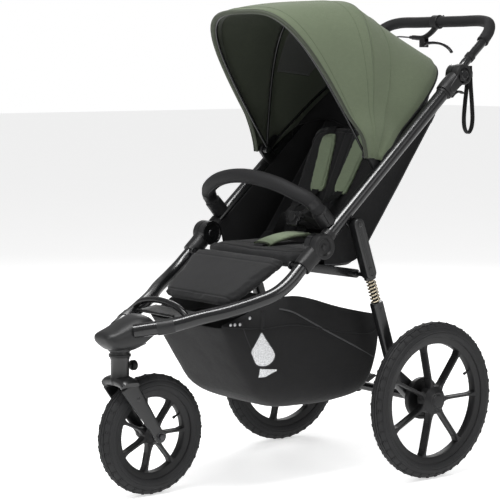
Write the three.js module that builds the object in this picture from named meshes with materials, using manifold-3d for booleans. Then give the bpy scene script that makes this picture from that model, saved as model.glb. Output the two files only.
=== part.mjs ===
// Three-wheeled folding baby stroller, in millimetres.
// +Z is up, the stroller faces -Y and +X is the seated child's left.
// The origin is on the floor, under the middle of the stroller's box.

import * as THREE from 'three';
import { mergeVertices } from 'three/addons/utils/BufferGeometryUtils.js';
import Module from 'manifold-3d';

const wasm = await Module();
wasm.setup();

// ---------------------------------------------------------------- driving dimensions
const GAP = 0.4;                       // clearance between pieces that touch

const REAR_WHEEL = { radius: 200, tyre: 24, x: 300, y: 243 };
const FRONT_WHEEL = { radius: 149, tyre: 25, x: 0, y: -419 };
const RIM_HALF_WIDTH = 15;
const SPOKES = 7;
const WHEEL_SEGMENTS = 28;

const SWIVEL_Y = -508;                 // upright steering axis of the front fork
const STEM_RADIUS = 22.5;
const FORK_HALF_WIDTH = 44;
const FORK_BLADE = 10;
const FRONT_AXLE_RADIUS = 4;

const FRAME_X = 227;                   // centre of the side tubes, left and right
const TUBE_RADIUS = 17;
const TUBE_WALL = 2;
const FOLD = { y: -73, z: 607 };       // frame fold axis
const FRAME_ANGLE = THREE.MathUtils.degToRad(41.5);
const HANDLE_DISTANCE = 629;           // fold axis to handle axis, along the upper tube
const FOLD_DISC = 32;
const HANDLE_DISC = 27;
const DISC_HALF = 23;                  // thickness of each half of a hinge

const LEG_TOP = { y: 37, z: 656 };     // pivot of the rear legs on the upper tubes
const LEG_ANGLE = THREE.MathUtils.degToRad(-71.14);
const LEG_X = 240;
const LEG_THICKNESS = 28;
const LEG_WIDTH = 32;
const UPPER_LEG_LENGTH = 147;
const SPRING_LENGTH = 66;
const LOWER_LEG_LENGTH = 212;
const SPRING_RADIUS = 13;
const ROD_RADIUS = 8;
const SUSPENSION_TRAVEL = 20;

const LINK_FRONT = { y: -137, z: 563 };
const LINK_REAR = { y: 74, z: 527 };
const LINK_X = 199;
const LINK_THICKNESS = 6;

const AXLE_RADIUS = 12;
const STUB_RADIUS = 6;

const BAR_RADIUS = 11.5;
const GRIP_RADIUS = 15;
const BAR = { y: 553, z: 1165 };       // straight part of the handlebar
const BUMPER_RADIUS = 18;
const BUMPER_X = 216;
const BUMPER_END = { y: -49, z: 676 }; // lower end of the bumper bar, in its socket
const BUMPER_ANGLE = THREE.MathUtils.degToRad(132);

const SEAT_HALF = 188;
const SEAT_TOP = 586;
const LEG_REST = { y: -131, z: SEAT_TOP };
const LEG_REST_ANGLE = Math.PI + 0.6;  // hangs forward and down from the seat's front edge
const LEG_REST_HALF = 138;
const RECLINE = { y: 112, z: 606 };    // backrest hinge line
const BACK_ANGLE = THREE.MathUtils.degToRad(66);

const CANOPY = { y: 108, z: 822 };     // pivots of the canopy bows
const CANOPY_HALF = 212;
const CANOPY_FRONT_ANGLE = 124;
const CANOPY_MID_ANGLE = 86;
const CANOPY_REAR_ANGLE = 40;
const CANOPY_MID_HEIGHT = 390;
const CANOPY_REAR_HEIGHT = 395;
const CANOPY_SQUARENESS = 3.6;         // 2 is an ellipse, more is squarer
const BOW_RADIUS = 3.5;

const stroller = new THREE.Group();

// ---------------------------------------------------------------- solids and booleans
function solid(geometry) {
  const bare = geometry.clone();
  bare.deleteAttribute('normal');
  bare.deleteAttribute('uv');
  const welded = mergeVertices(bare, 1e-3);
  const vertProperties = Float32Array.from(welded.attributes.position.array);
  const triVerts = Uint32Array.from(welded.index.array);
  return new wasm.Manifold(new wasm.Mesh({ numProp: 3, vertProperties, triVerts }));
}

function geometryOf(manifold) {
  const mesh = manifold.getMesh();
  const geometry = new THREE.BufferGeometry();
  geometry.setAttribute('position', new THREE.BufferAttribute(mesh.vertProperties, 3));
  geometry.setIndex(new THREE.BufferAttribute(mesh.triVerts, 1));
  geometry.computeVertexNormals();
  return geometry;
}

function join(...pieces) {
  return pieces.reduce((whole, piece) => whole.add(piece));
}

function cut(whole, ...tools) {
  return tools.reduce((rest, tool) => rest.subtract(tool), whole);
}

const MATERIALS = {
  frame: { color: 0x1b1c1e, roughness: 0.35, metalness: 0.6 },
  plastic: { color: 0x161718, roughness: 0.6, metalness: 0 },
  rubber: { color: 0x232325, roughness: 0.9, metalness: 0 },
  foam: { color: 0x1a1a1b, roughness: 0.85, metalness: 0 },
  spring: { color: 0x8d8567, roughness: 0.35, metalness: 0.9 },
  steel: { color: 0x8a8c90, roughness: 0.35, metalness: 1 },
  charcoal: { color: 0x29292b, roughness: 0.95, metalness: 0 },
  sage: { color: 0x67705c, roughness: 0.95, metalness: 0 },
};

function add(name, manifold, look) {
  const material = new THREE.MeshStandardMaterial(MATERIALS[look]);
  const mesh = new THREE.Mesh(geometryOf(manifold), material);
  mesh.name = name;
  stroller.add(mesh);
}

// Mirrors a solid made on the left (+X) side to the right.
function mirrored(manifold) {
  return manifold.mirror([1, 0, 0]);
}

function addPair(name, left, look) {
  add(`${name}_left`, left, look);
  add(`${name}_right`, mirrored(left), look);
}

// ---------------------------------------------------------------- basic forms
function circlePoints(radius, sides) {
  const points = [];
  for (let i = 0; i < sides; i += 1) {
    const a = (2 * Math.PI * (i + 0.5)) / sides;
    points.push(new THREE.Vector2(radius * Math.cos(a), radius * Math.sin(a)));
  }
  return points;
}

// Round bar or pipe swept along a smooth line through the points.
function tube(points, radius, { steps = 14, sides = 10, bore = 0 } = {}) {
  const line = points.length === 2
    ? new THREE.LineCurve3(...points.map((p) => new THREE.Vector3(...p)))
    : new THREE.CatmullRomCurve3(points.map((p) => new THREE.Vector3(...p)));
  const section = new THREE.Shape(circlePoints(radius, sides));
  if (bore > 0) {
    section.holes.push(new THREE.Path(circlePoints(bore, sides)));
  }
  const options = { steps: points.length === 2 ? 1 : steps, extrudePath: line, bevelEnabled: false };
  return solid(new THREE.ExtrudeGeometry(section, options));
}

// Cylinder whose axis runs along X, from x0 to x1.
function drum(y, z, radius, x0, x1, sides = 20) {
  const geometry = new THREE.CylinderGeometry(radius, radius, x1 - x0, sides);
  geometry.rotateZ(Math.PI / 2);
  geometry.translate((x0 + x1) / 2, y, z);
  return solid(geometry);
}

// Flat outline in the YZ plane, given as [y, z] points, extruded from x0 to x1.
function plate(outline, x0, x1) {
  const shape = new THREE.Shape(outline.map(([y, z]) => new THREE.Vector2(y, z)));
  const geometry = new THREE.ExtrudeGeometry(shape, { depth: x1 - x0, bevelEnabled: false });
  const turn = new THREE.Matrix4().makeBasis(
    new THREE.Vector3(0, 1, 0),
    new THREE.Vector3(0, 0, 1),
    new THREE.Vector3(1, 0, 0),
  );
  geometry.applyMatrix4(turn);
  geometry.translate(x0, 0, 0);
  return solid(geometry);
}

// Outline around two circles in the YZ plane, like a flat link.
function linkOutline(a, radiusA, b, radiusB, arcSteps = 6) {
  const along = Math.atan2(b.z - a.z, b.y - a.y);
  const distance = Math.hypot(b.y - a.y, b.z - a.z);
  const spread = Math.acos((radiusA - radiusB) / distance);
  const points = [];
  for (let i = 0; i <= arcSteps; i += 1) {
    const t = along + spread + ((2 * Math.PI - 2 * spread) * i) / arcSteps;
    points.push([a.y + radiusA * Math.cos(t), a.z + radiusA * Math.sin(t)]);
  }
  for (let i = 0; i <= arcSteps; i += 1) {
    const t = along - spread + (2 * spread * i) / arcSteps;
    points.push([b.y + radiusB * Math.cos(t), b.z + radiusB * Math.sin(t)]);
  }
  return points;
}

// Ring or disc turned about the X axis, from a closed profile of [radius, x] points.
function turned(profile, y, z, x, segments = WHEEL_SEGMENTS) {
  const points = profile.map(([r, along]) => new THREE.Vector2(r, along));
  if (profile[0][0] > 0) {
    points.push(points[0].clone());
  }
  const geometry = new THREE.LatheGeometry(points, segments);
  geometry.rotateZ(-Math.PI / 2);
  geometry.translate(x, y, z);
  return solid(geometry);
}

// Point at a distance from a start, in the direction of an angle, in the YZ plane.
function along(start, angle, distance, sideways = 0) {
  return {
    y: start.y + distance * Math.cos(angle) - sideways * Math.sin(angle),
    z: start.z + distance * Math.sin(angle) + sideways * Math.cos(angle),
  };
}

// Straight slab between two distances along a line, with sideways limits.
function slabOutline(start, angle, from, to, low, high) {
  const corners = [[from, low], [to, low], [to, high], [from, high]];
  return corners.map(([d, s]) => {
    const p = along(start, angle, d, s);
    return [p.y, p.z];
  });
}

// Closed sheet of even thickness over a grid of points: outer(i, j) and inner(i, j).
function thickSheet(columns, rows, outer, inner) {
  const positions = [];
  const index = [];
  for (const side of [outer, inner]) {
    for (let i = 0; i <= columns; i += 1) {
      for (let j = 0; j <= rows; j += 1) {
        positions.push(...side(i / columns, j / rows));
      }
    }
  }
  const layer = (columns + 1) * (rows + 1);
  const at = (i, j, k) => k * layer + i * (rows + 1) + j;
  const quad = (a, b, c, d) => index.push(a, c, b, a, d, c);
  for (let i = 0; i < columns; i += 1) {
    for (let j = 0; j < rows; j += 1) {
      quad(at(i, j, 0), at(i + 1, j, 0), at(i + 1, j + 1, 0), at(i, j + 1, 0));
      quad(at(i, j, 1), at(i, j + 1, 1), at(i + 1, j + 1, 1), at(i + 1, j, 1));
    }
    quad(at(i, 0, 0), at(i, 0, 1), at(i + 1, 0, 1), at(i + 1, 0, 0));
    quad(at(i, rows, 0), at(i + 1, rows, 0), at(i + 1, rows, 1), at(i, rows, 1));
  }
  for (let j = 0; j < rows; j += 1) {
    quad(at(0, j, 0), at(0, j + 1, 0), at(0, j + 1, 1), at(0, j, 1));
    quad(at(columns, j, 0), at(columns, j, 1), at(columns, j + 1, 1), at(columns, j + 1, 0));
  }
  const geometry = new THREE.BufferGeometry();
  geometry.setAttribute('position', new THREE.Float32BufferAttribute(positions, 3));
  geometry.setIndex(index);
  return solid(geometry);
}

// ---------------------------------------------------------------- wheels
function tyre(wheel, x) {
  const outer = wheel.radius;
  const middle = outer - wheel.tyre;
  const half = wheel.tyre;
  const profile = [
    [middle - 0.62 * half, -0.6 * half],
    [middle - 0.1 * half, -half],
    [middle + 0.6 * half, -0.8 * half],
    [outer, -0.22 * half],
    [outer, 0.22 * half],
    [middle + 0.6 * half, 0.8 * half],
    [middle - 0.1 * half, half],
    [middle - 0.62 * half, 0.6 * half],
  ];
  return turned(profile, wheel.y, wheel.radius, x);
}

function rim(wheel, x, hubRadius, hubHalf, bore) {
  const seat = wheel.radius - wheel.tyre - 0.62 * wheel.tyre - GAP;
  const inner = seat - 16;
  const ring = turned([
    [inner, -RIM_HALF_WIDTH],
    [seat, -RIM_HALF_WIDTH],
    [seat, RIM_HALF_WIDTH],
    [inner, RIM_HALF_WIDTH],
  ], wheel.y, wheel.radius, x);
  const hub = turned([
    [bore + GAP, -hubHalf],
    [hubRadius, -hubHalf],
    [hubRadius, hubHalf],
    [bore + GAP, hubHalf],
  ], wheel.y, wheel.radius, x, 20);
  const spokes = [];
  for (let i = 0; i < SPOKES; i += 1) {
    const angle = (2 * Math.PI * i) / SPOKES;
    const length = inner + 4 - (hubRadius - 6);
    const box = new THREE.BoxGeometry(24, length, 7);
    box.translate(0, hubRadius - 6 + length / 2, 0);
    box.rotateX(angle);
    box.translate(x, wheel.y, wheel.radius);
    spokes.push(solid(box));
  }
  return join(ring, hub, ...spokes);
}

function addWheels() {
  addPair('tyre', tyre(REAR_WHEEL, REAR_WHEEL.x), 'rubber');
  addPair('rim', rim(REAR_WHEEL, REAR_WHEEL.x, 36, 24, STUB_RADIUS), 'plastic');
  add('front_tyre', tyre(FRONT_WHEEL, 0), 'rubber');
  add('front_rim', rim(FRONT_WHEEL, 0, 26, 30, FRONT_AXLE_RADIUS), 'plastic');
}

// ---------------------------------------------------------------- steering fork
function addFork() {
  const axle = { y: FRONT_WHEEL.y, z: FRONT_WHEEL.radius };
  const crown = { y: SWIVEL_Y, z: 283 };
  const stem = new THREE.CylinderGeometry(STEM_RADIUS, STEM_RADIUS, 365 - 285, 20);
  stem.rotateX(Math.PI / 2);
  stem.translate(0, SWIVEL_Y, (365 + 285) / 2);
  const sides = plate(linkOutline(crown, 24, axle, 16), -FORK_HALF_WIDTH, FORK_HALF_WIDTH);
  const inside = FORK_HALF_WIDTH - FORK_BLADE;
  const wheelRoom = drum(axle.y, axle.z, FRONT_WHEEL.radius + 4, -inside, inside, 36);
  const axleHole = drum(axle.y, axle.z, FRONT_AXLE_RADIUS + GAP, -60, 60, 12);
  add('front_fork', cut(join(solid(stem), sides), wheelRoom, axleHole), 'frame');

  const shaft = drum(axle.y, axle.z, FRONT_AXLE_RADIUS, -52, 52, 12);
  const headFace = FORK_HALF_WIDTH + GAP;
  const headLeft = drum(axle.y, axle.z, 9, headFace, 52, 12);
  add('front_axle', join(shaft, headLeft, mirrored(headLeft)), 'steel');

  const knobBack = SWIVEL_Y + STEM_RADIUS + 24;
  const knob = plate([
    [SWIVEL_Y + STEM_RADIUS + GAP, 312],
    [knobBack, 318],
    [knobBack, 334],
    [SWIVEL_Y + STEM_RADIUS + GAP, 338],
  ], -12, 12);
  add('swivel_lock_knob', knob, 'plastic');
}

// ---------------------------------------------------------------- lower frame
const LOWER_TUBE_LINE = [
  [38, -492, 414],
  [60, -463, 420],
  [90, -424, 427],
  [127, -361, 445],
  [166, -301, 461],
  [200, -251, 480],
  [221, -204, 500],
  [227, -165, 526],
  [FRAME_X, -130, 557],
  [FRAME_X, -102, 581],
];

function frameTube(radius, bore = 0) {
  return tube(LOWER_TUBE_LINE, radius, { steps: 13, sides: 8, bore });
}

function addLowerFrame() {
  const room = frameTube(TUBE_RADIUS + GAP);
  const rooms = [room, mirrored(room)];
  addPair('lower_tube', frameTube(TUBE_RADIUS, TUBE_RADIUS - TUBE_WALL), 'frame');

  const nose = plate([
    [-562, 393], [-536, 366], [-474, 366], [-428, 392], [-424, 412],
    [-450, 446], [-474, 447], [-522, 422], [-556, 406],
  ], -44, 44);
  add('front_bracket', cut(nose, ...rooms), 'plastic');

  const bar = tube([
    [-112, -386, 440], [-100, -388, 452], [-60, -389, 470], [0, -389, 477],
    [60, -389, 470], [100, -388, 452], [112, -386, 440],
  ], 8, { steps: 16, sides: 8 });
  add('footrest_bar', cut(bar, ...rooms), 'frame');

  const tray = new THREE.Shape([
    new THREE.Vector2(-76, -402), new THREE.Vector2(76, -402),
    new THREE.Vector2(126, -314), new THREE.Vector2(-126, -314),
  ]);
  const trayGeometry = new THREE.ExtrudeGeometry(tray, { depth: 6, bevelEnabled: false });
  trayGeometry.translate(0, 0, 442);
  add('footrest_tray', cut(solid(trayGeometry), ...rooms), 'plastic');
}

// Outer half of a hinge, with the sleeve that holds the tube behind it.
function hingeOuter(pivot, angle, disc, sleeveEnd) {
  const from = along(pivot, angle, disc * 0.5);
  const to = along(pivot, angle, sleeveEnd);
  const tubeStart = along(pivot, angle, disc + 8);
  const tubeEnd = along(pivot, angle, sleeveEnd + 30);
  const line = (a, b) => [[FRAME_X, a.y, a.z], [FRAME_X, b.y, b.z]];
  const face = drum(pivot.y, pivot.z, disc, FRAME_X + 1, FRAME_X + 1 + DISC_HALF, 16);
  const sleeve = tube(line(from, to), TUBE_RADIUS + 5, { sides: 10 });
  const otherHalf = drum(pivot.y, pivot.z, disc + 1.5, FRAME_X - 60, FRAME_X + GAP, 16);
  const bore = tube(line(tubeStart, tubeEnd), TUBE_RADIUS + GAP, { sides: 10 });
  return cut(join(face, cut(sleeve, otherHalf)), bore);
}

// Inner half of a hinge: a disc to be joined to the tube or bar that it carries.
function hingeInner(pivot, disc) {
  return drum(pivot.y, pivot.z, disc, FRAME_X - DISC_HALF, FRAME_X - GAP, 16);
}

function outerHalfRoom(pivot, disc) {
  return drum(pivot.y, pivot.z, disc + 1.5, FRAME_X, FRAME_X + 60, 16);
}

const HANDLE = along(FOLD, FRAME_ANGLE, HANDLE_DISTANCE);

function addHinges() {
  const downTube = FRAME_ANGLE + Math.PI;
  const linkPin = drum(LINK_FRONT.y, LINK_FRONT.z, 5, LINK_X - 3, FRAME_X - 8, 12);
  const hub = hingeOuter(FOLD, downTube, FOLD_DISC, 74);
  const lowerTube = frameTube(TUBE_RADIUS + GAP);
  addPair('fold_hub', cut(join(hub, linkPin), lowerTube), 'plastic');

  const knuckle = hingeOuter(HANDLE, downTube, HANDLE_DISC, 70);
  const recess = drum(HANDLE.y, HANDLE.z, 15, FRAME_X + DISC_HALF - 6, FRAME_X + 60, 16);
  addPair('handle_hinge', cut(knuckle, recess), 'plastic');

  const button = drum(HANDLE.y, HANDLE.z, 14, FRAME_X + DISC_HALF - 1, FRAME_X + DISC_HALF + 4, 16);
  addPair('handle_button', button, 'foam');

  const under = (d, s) => {
    const p = along(HANDLE, FRAME_ANGLE, d, s);
    return [p.y, p.z];
  };
  const clear = TUBE_RADIUS + 5 + GAP;
  const trigger = plate([
    under(-58, -clear), under(-44, -clear), under(-30, -clear - 6), under(-18, -clear - 22),
    under(-24, -clear - 25), under(-38, -clear - 12), under(-58, -clear - 8),
  ], FRAME_X - 7, FRAME_X + 7);
  add('fold_trigger', trigger, 'plastic');
}

// ---------------------------------------------------------------- upper frame
function straightTube(fromDistance, toDistance, radius, bore = 0) {
  const a = along(FOLD, FRAME_ANGLE, fromDistance);
  const b = along(FOLD, FRAME_ANGLE, toDistance);
  return tube([[FRAME_X, a.y, a.z], [FRAME_X, b.y, b.z]], radius, { bore });
}

function addUpperFrame() {
  const pipe = straightTube(10, HANDLE_DISTANCE - HANDLE_DISC - 9, TUBE_RADIUS, TUBE_RADIUS - TUBE_WALL);
  const lugAngle = FRAME_ANGLE - Math.PI / 2;
  const lugRoot = along(LEG_TOP, lugAngle, -22);
  const lug = plate(linkOutline(lugRoot, 14, LEG_TOP, 12, 4), FRAME_X - 13, LEG_X - LEG_THICKNESS / 2 - 1);
  const pin = drum(LEG_TOP.y, LEG_TOP.z, 5, FRAME_X - 10, LEG_X + LEG_THICKNESS / 2, 12);
  const bore = straightTube(0, HANDLE_DISTANCE, TUBE_RADIUS - TUBE_WALL);
  const pipeWithLug = join(pipe, cut(lug, bore), pin);
  const disc = hingeInner(FOLD, FOLD_DISC);
  const upper = cut(join(pipeWithLug, disc), outerHalfRoom(FOLD, FOLD_DISC));
  addPair('upper_tube', upper, 'frame');

  const tubeRoom = straightTube(-40, HANDLE_DISTANCE, TUBE_RADIUS + GAP);
  const socket = bumperArm(-18, 22, BUMPER_RADIUS + 4, 12);
  const hole = bumperArm(-1, 60, BUMPER_RADIUS + 1, 12);
  addPair('bumper_socket', cut(socket, hole, tubeRoom), 'plastic');

  const lugEnd = along(CANOPY, THREE.MathUtils.degToRad(CANOPY_REAR_ANGLE), 46);
  const foot = along(CANOPY, FRAME_ANGLE - Math.PI / 2, 38);
  const arm = plate(linkOutline(CANOPY, 14, foot, 16, 4), 206, 220);
  const ear = plate(linkOutline(CANOPY, 14, lugEnd, 9, 4), 206, 216);
  addPair('canopy_pivot', cut(join(arm, ear), tubeRoom), 'plastic');
}

// Straight piece on the line of the bumper bar's arm, between two distances up from its end.
function bumperArm(from, to, radius, sides) {
  const a = along(BUMPER_END, BUMPER_ANGLE, from);
  const b = along(BUMPER_END, BUMPER_ANGLE, to);
  return tube([[BUMPER_X, a.y, a.z], [BUMPER_X, b.y, b.z]], radius, { sides });
}

function addBumper() {
  const arm = [0, 10, 20, 32].map((distance) => {
    const p = along(BUMPER_END, BUMPER_ANGLE, distance);
    return [BUMPER_X, p.y, p.z];
  });
  const side = [...arm, [204, -86, 721], [172, -102, 737], [126, -114, 754], [68, -122, 766]];
  const far = side.map(([x, y, z]) => [-x, y, z]).reverse();
  const line = [...side, [0, -125, 771], ...far];
  add('bumper_bar', tube(line, BUMPER_RADIUS, { steps: 22, sides: 10 }), 'foam');
}

// ---------------------------------------------------------------- handlebar and brake
const HANDLE_ARM = [
  [226, 418, 1049],
  [226, 455, 1081],
  [225, 488, 1109],
  [216, 520, 1137],
  [193, 543, 1157],
  [160, 552, 1164.5],
];

function handleLine(armPoints) {
  const far = armPoints.map(([x, y, z]) => [-x, y, z]).reverse();
  return [...armPoints, [80, BAR.y, BAR.z], [0, BAR.y, BAR.z], [-80, BAR.y, BAR.z], ...far];
}

function addHandle() {
  const startArm = [[226, HANDLE.y + 8, HANDLE.z + 8], ...HANDLE_ARM];
  const barForm = { steps: 24, sides: 8 };
  const bar = tube(handleLine(startArm), BAR_RADIUS, barForm);
  const disc = hingeInner(HANDLE, HANDLE_DISC);
  const room = outerHalfRoom(HANDLE, HANDLE_DISC);
  const whole = cut(join(bar, disc, mirrored(disc)), room, mirrored(room));
  add('handlebar', whole, 'frame');

  const gripLine = handleLine(HANDLE_ARM.slice(2));
  const grip = tube(gripLine, GRIP_RADIUS, { steps: 18, sides: 10 });
  const core = tube(handleLine(startArm), BAR_RADIUS + GAP, barForm);
  const clampX = [-24, 0];
  const clampRoom = drum(BAR.y, BAR.z, GRIP_RADIUS + 8, clampX[0] - GAP, clampX[1] + GAP);
  const grooveCore = drum(BAR.y, BAR.z, BAR_RADIUS + 2, clampX[0] - 1, clampX[1] + 1, 16);
  add('handle_grip', cut(grip, core, cut(clampRoom, grooveCore)), 'foam');

  const perch = tube([[-12, 550, 1152], [-30, 545, 1133], [-52, 541, 1122], [-96, 540, 1124]], 8, {
    steps: 8, sides: 8,
  });
  const ring = drum(BAR.y, BAR.z, GRIP_RADIUS + 4, clampX[0], clampX[1]);
  const ringHole = drum(BAR.y, BAR.z, BAR_RADIUS + 2 + GAP, -40, 20, 16);
  const leverSlot = tube([[-60, 541, 1104], [10, 541, 1104]], 13, { sides: 12 });
  add('brake_clamp', cut(join(ring, perch), ringHole, leverSlot), 'plastic');

  const blade = new THREE.Shape([
    new THREE.Vector2(-54, 1105), new THREE.Vector2(-40, 1112), new THREE.Vector2(0, 1112),
    new THREE.Vector2(34, 1106), new THREE.Vector2(58, 1092), new THREE.Vector2(62, 1082),
    new THREE.Vector2(55, 1080), new THREE.Vector2(50, 1088), new THREE.Vector2(30, 1098),
    new THREE.Vector2(-4, 1103), new THREE.Vector2(-46, 1097),
  ]);
  const bladeGeometry = new THREE.ExtrudeGeometry(blade, { depth: 12, bevelEnabled: false });
  bladeGeometry.rotateX(Math.PI / 2);
  bladeGeometry.translate(0, 547, 0);
  add('brake_lever', cut(solid(bladeGeometry), perch, ring), 'plastic');

  const cable = tube([
    [-96.5, 540, 1124], [-118, 540, 1125], [-150, 532, 1126], [-178, 512, 1117],
    [-195, 485, 1096], [-203, 455, 1070], [-206, 430, 1050],
  ], 2, { steps: 22, sides: 8 });
  const cableRoom = drum(HANDLE.y, HANDLE.z, HANDLE_DISC + 1, -260, -190, 24);
  add('brake_cable', cut(cable, cableRoom, perch), 'foam');

  const loop = new THREE.Shape([
    new THREE.Vector2(432, 1052), new THREE.Vector2(429, 1000), new THREE.Vector2(418, 920),
    new THREE.Vector2(420, 884), new THREE.Vector2(436, 868), new THREE.Vector2(452, 884),
    new THREE.Vector2(455, 920), new THREE.Vector2(446, 1000), new THREE.Vector2(443, 1052),
  ]);
  loop.holes.push(new THREE.Path([
    new THREE.Vector2(434.5, 1040), new THREE.Vector2(432, 1000), new THREE.Vector2(421.5, 920),
    new THREE.Vector2(423.5, 885.5), new THREE.Vector2(436, 872), new THREE.Vector2(448.5, 885.5),
    new THREE.Vector2(451.5, 920), new THREE.Vector2(443, 1000), new THREE.Vector2(440.5, 1040),
  ]));
  const loopGeometry = new THREE.ExtrudeGeometry(loop, { depth: 15, bevelEnabled: false });
  const turn = new THREE.Matrix4().makeBasis(
    new THREE.Vector3(0, 1, 0),
    new THREE.Vector3(0, 0, 1),
    new THREE.Vector3(1, 0, 0),
  );
  loopGeometry.applyMatrix4(turn);
  loopGeometry.translate(FRAME_X - 7, 0, 0);
  add('wrist_strap', cut(solid(loopGeometry), core), 'charcoal');
}

// ---------------------------------------------------------------- rear legs and axle
function legPoint(distance) {
  return along(LEG_TOP, LEG_ANGLE, distance);
}

function legBar(from, to, radius, options) {
  const a = legPoint(from);
  const b = legPoint(to);
  return tube([[LEG_X, a.y, a.z], [LEG_X, b.y, b.z]], radius, options);
}

function addLegs() {
  const x0 = LEG_X - LEG_THICKNESS / 2;
  const x1 = LEG_X + LEG_THICKNESS / 2;
  const bottom = legPoint(UPPER_LEG_LENGTH - LEG_WIDTH / 2);
  const outline = linkOutline(LEG_TOP, 15, bottom, LEG_WIDTH / 2, 8);
  const body = plate(outline, x0, x1);
  const pinHole = drum(LEG_TOP.y, LEG_TOP.z, 5 + GAP, x0 - 5, x1 + 5, 12);
  const rodHole = legBar(70, UPPER_LEG_LENGTH + 20, ROD_RADIUS + 1, { sides: 10 });
  addPair('rear_leg', cut(body, pinHole, rodHole), 'plastic');

  const springTop = UPPER_LEG_LENGTH + GAP;
  const springEnd = UPPER_LEG_LENGTH + SPRING_LENGTH - GAP;
  const coil = legBar(springTop, springEnd, SPRING_RADIUS, { sides: 12, bore: ROD_RADIUS + 1 });
  addPair('spring', coil, 'spring');

  const start = UPPER_LEG_LENGTH + SPRING_LENGTH;
  const shank = plate(slabOutline(LEG_TOP, LEG_ANGLE, start, start + LOWER_LEG_LENGTH, -15, 15), x0 + 1, x1 - 1);
  const rod = legBar(start - SPRING_LENGTH - SUSPENSION_TRAVEL, start + 10, ROD_RADIUS, { sides: 10 });
  const axle = { y: REAR_WHEEL.y, z: REAR_WHEEL.radius };
  const knuckle = plate(linkOutline(legPoint(start + LOWER_LEG_LENGTH - 8), 17, axle, 22), x0 + 1, x1 - 1);
  const axleHole = drum(axle.y, axle.z, STUB_RADIUS + GAP, x0 - 5, x1 + 5, 16);
  addPair('lower_leg', cut(join(shank, rod, knuckle), axleHole), 'frame');

  const inner = x0 + 1 - GAP;
  const beam = drum(axle.y, axle.z, AXLE_RADIUS, -inner, inner, 16);
  const stub = drum(axle.y, axle.z, STUB_RADIUS, -323, 323, 12);
  add('rear_axle', join(beam, stub), 'frame');

  const drumPlate = turned([
    [STUB_RADIUS + GAP, x1 - LEG_X],
    [50, x1 - LEG_X],
    [54, x1 - LEG_X + 4],
    [54, x1 - LEG_X + 18],
    [STUB_RADIUS + GAP, x1 - LEG_X + 18],
  ], axle.y, axle.z, LEG_X, 24);
  addPair('brake_drum', drumPlate, 'plastic');

  const pedalRing = drum(axle.y, axle.z, AXLE_RADIUS + 7, -24, 24, 16);
  const pedalPad = plate([
    [axle.y + 6, axle.z + 4], [axle.y + 60, axle.z + 22], [axle.y + 66, axle.z + 16], [axle.y + 12, axle.z - 10],
  ], -24, 24);
  const pedalHole = drum(axle.y, axle.z, AXLE_RADIUS + GAP, -30, 30, 16);
  add('brake_pedal', cut(join(pedalRing, pedalPad), pedalHole), 'plastic');

  const half = LINK_THICKNESS / 2;
  const linkBody = plate(linkOutline(LINK_FRONT, 11, LINK_REAR, 11), LINK_X - half, LINK_X + half);
  const linkHole = drum(LINK_FRONT.y, LINK_FRONT.z, 5 + GAP, LINK_X - 20, LINK_X + 20, 12);
  const linkStud = drum(LINK_REAR.y, LINK_REAR.z, 6, LINK_X, x0 - 0.6, 12);
  addPair('link', cut(join(linkBody, linkStud), linkHole), 'frame');
}

// ---------------------------------------------------------------- seat, backrest and leg rest
function addSeat() {
  add('seat_pad', plate([
    [-104, 560], [-30, 548], [52, 558], [100, 566], [106, SEAT_TOP], [-127, SEAT_TOP],
  ], -SEAT_HALF, SEAT_HALF), 'charcoal');

  const slab = plate(slabOutline(LEG_REST, LEG_REST_ANGLE, 0, 205, 0, 22), -SEAT_HALF, SEAT_HALF);
  const plan = new THREE.Shape([
    new THREE.Vector2(-SEAT_HALF, -100), new THREE.Vector2(-SEAT_HALF, -140),
    new THREE.Vector2(-LEG_REST_HALF, -320), new THREE.Vector2(LEG_REST_HALF, -320),
    new THREE.Vector2(SEAT_HALF, -140), new THREE.Vector2(SEAT_HALF, -100),
  ]);
  const planGeometry = new THREE.ExtrudeGeometry(plan, { depth: 300, bevelEnabled: false });
  planGeometry.translate(0, 0, 400);
  add('leg_rest', slab.intersect(solid(planGeometry)), 'charcoal');

  add('crotch_pad', plate([
    [-68, SEAT_TOP + GAP], [94, SEAT_TOP + GAP], [92, 616], [40, 616], [-8, 610], [-70, 594],
  ], -32, 32), 'sage');

  add('harness_buckle', plate([
    [20, 632], [30, 630], [50, 676], [38, 680],
  ], -24, 24), 'plastic');

  const back = [[8, 0], [8, -6], [40, -30], [318, -30], [318, 0]].map(([d, s]) => {
    const p = along(RECLINE, BACK_ANGLE, d, s);
    return [p.y, p.z];
  });
  add('backrest_pad', plate(back, -160, 160), 'charcoal');
  const pad = plate(slabOutline(RECLINE, BACK_ANGLE, 112, 285, GAP, 14), 24, 98);
  addPair('shoulder_pad', pad, 'sage');

  // Cloth behind the backrest: flat in the middle, drawn forward to the side edges.
  const slingAngle = THREE.MathUtils.degToRad(54);
  const slingFace = (offset) => (u, v) => {
    const x = 204 - 408 * u;
    const side = THREE.MathUtils.clamp((Math.abs(x) - 165) / 39, 0, 1);
    const p = along({ y: 134 - 37 * side, z: 592 + 6 * side }, slingAngle, (380 + 24 * side) * v, offset);
    return [x, p.y, p.z];
  };
  add('back_sling', thickSheet(20, 2, slingFace(-2), slingFace(-10)), 'charcoal');
}

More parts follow.
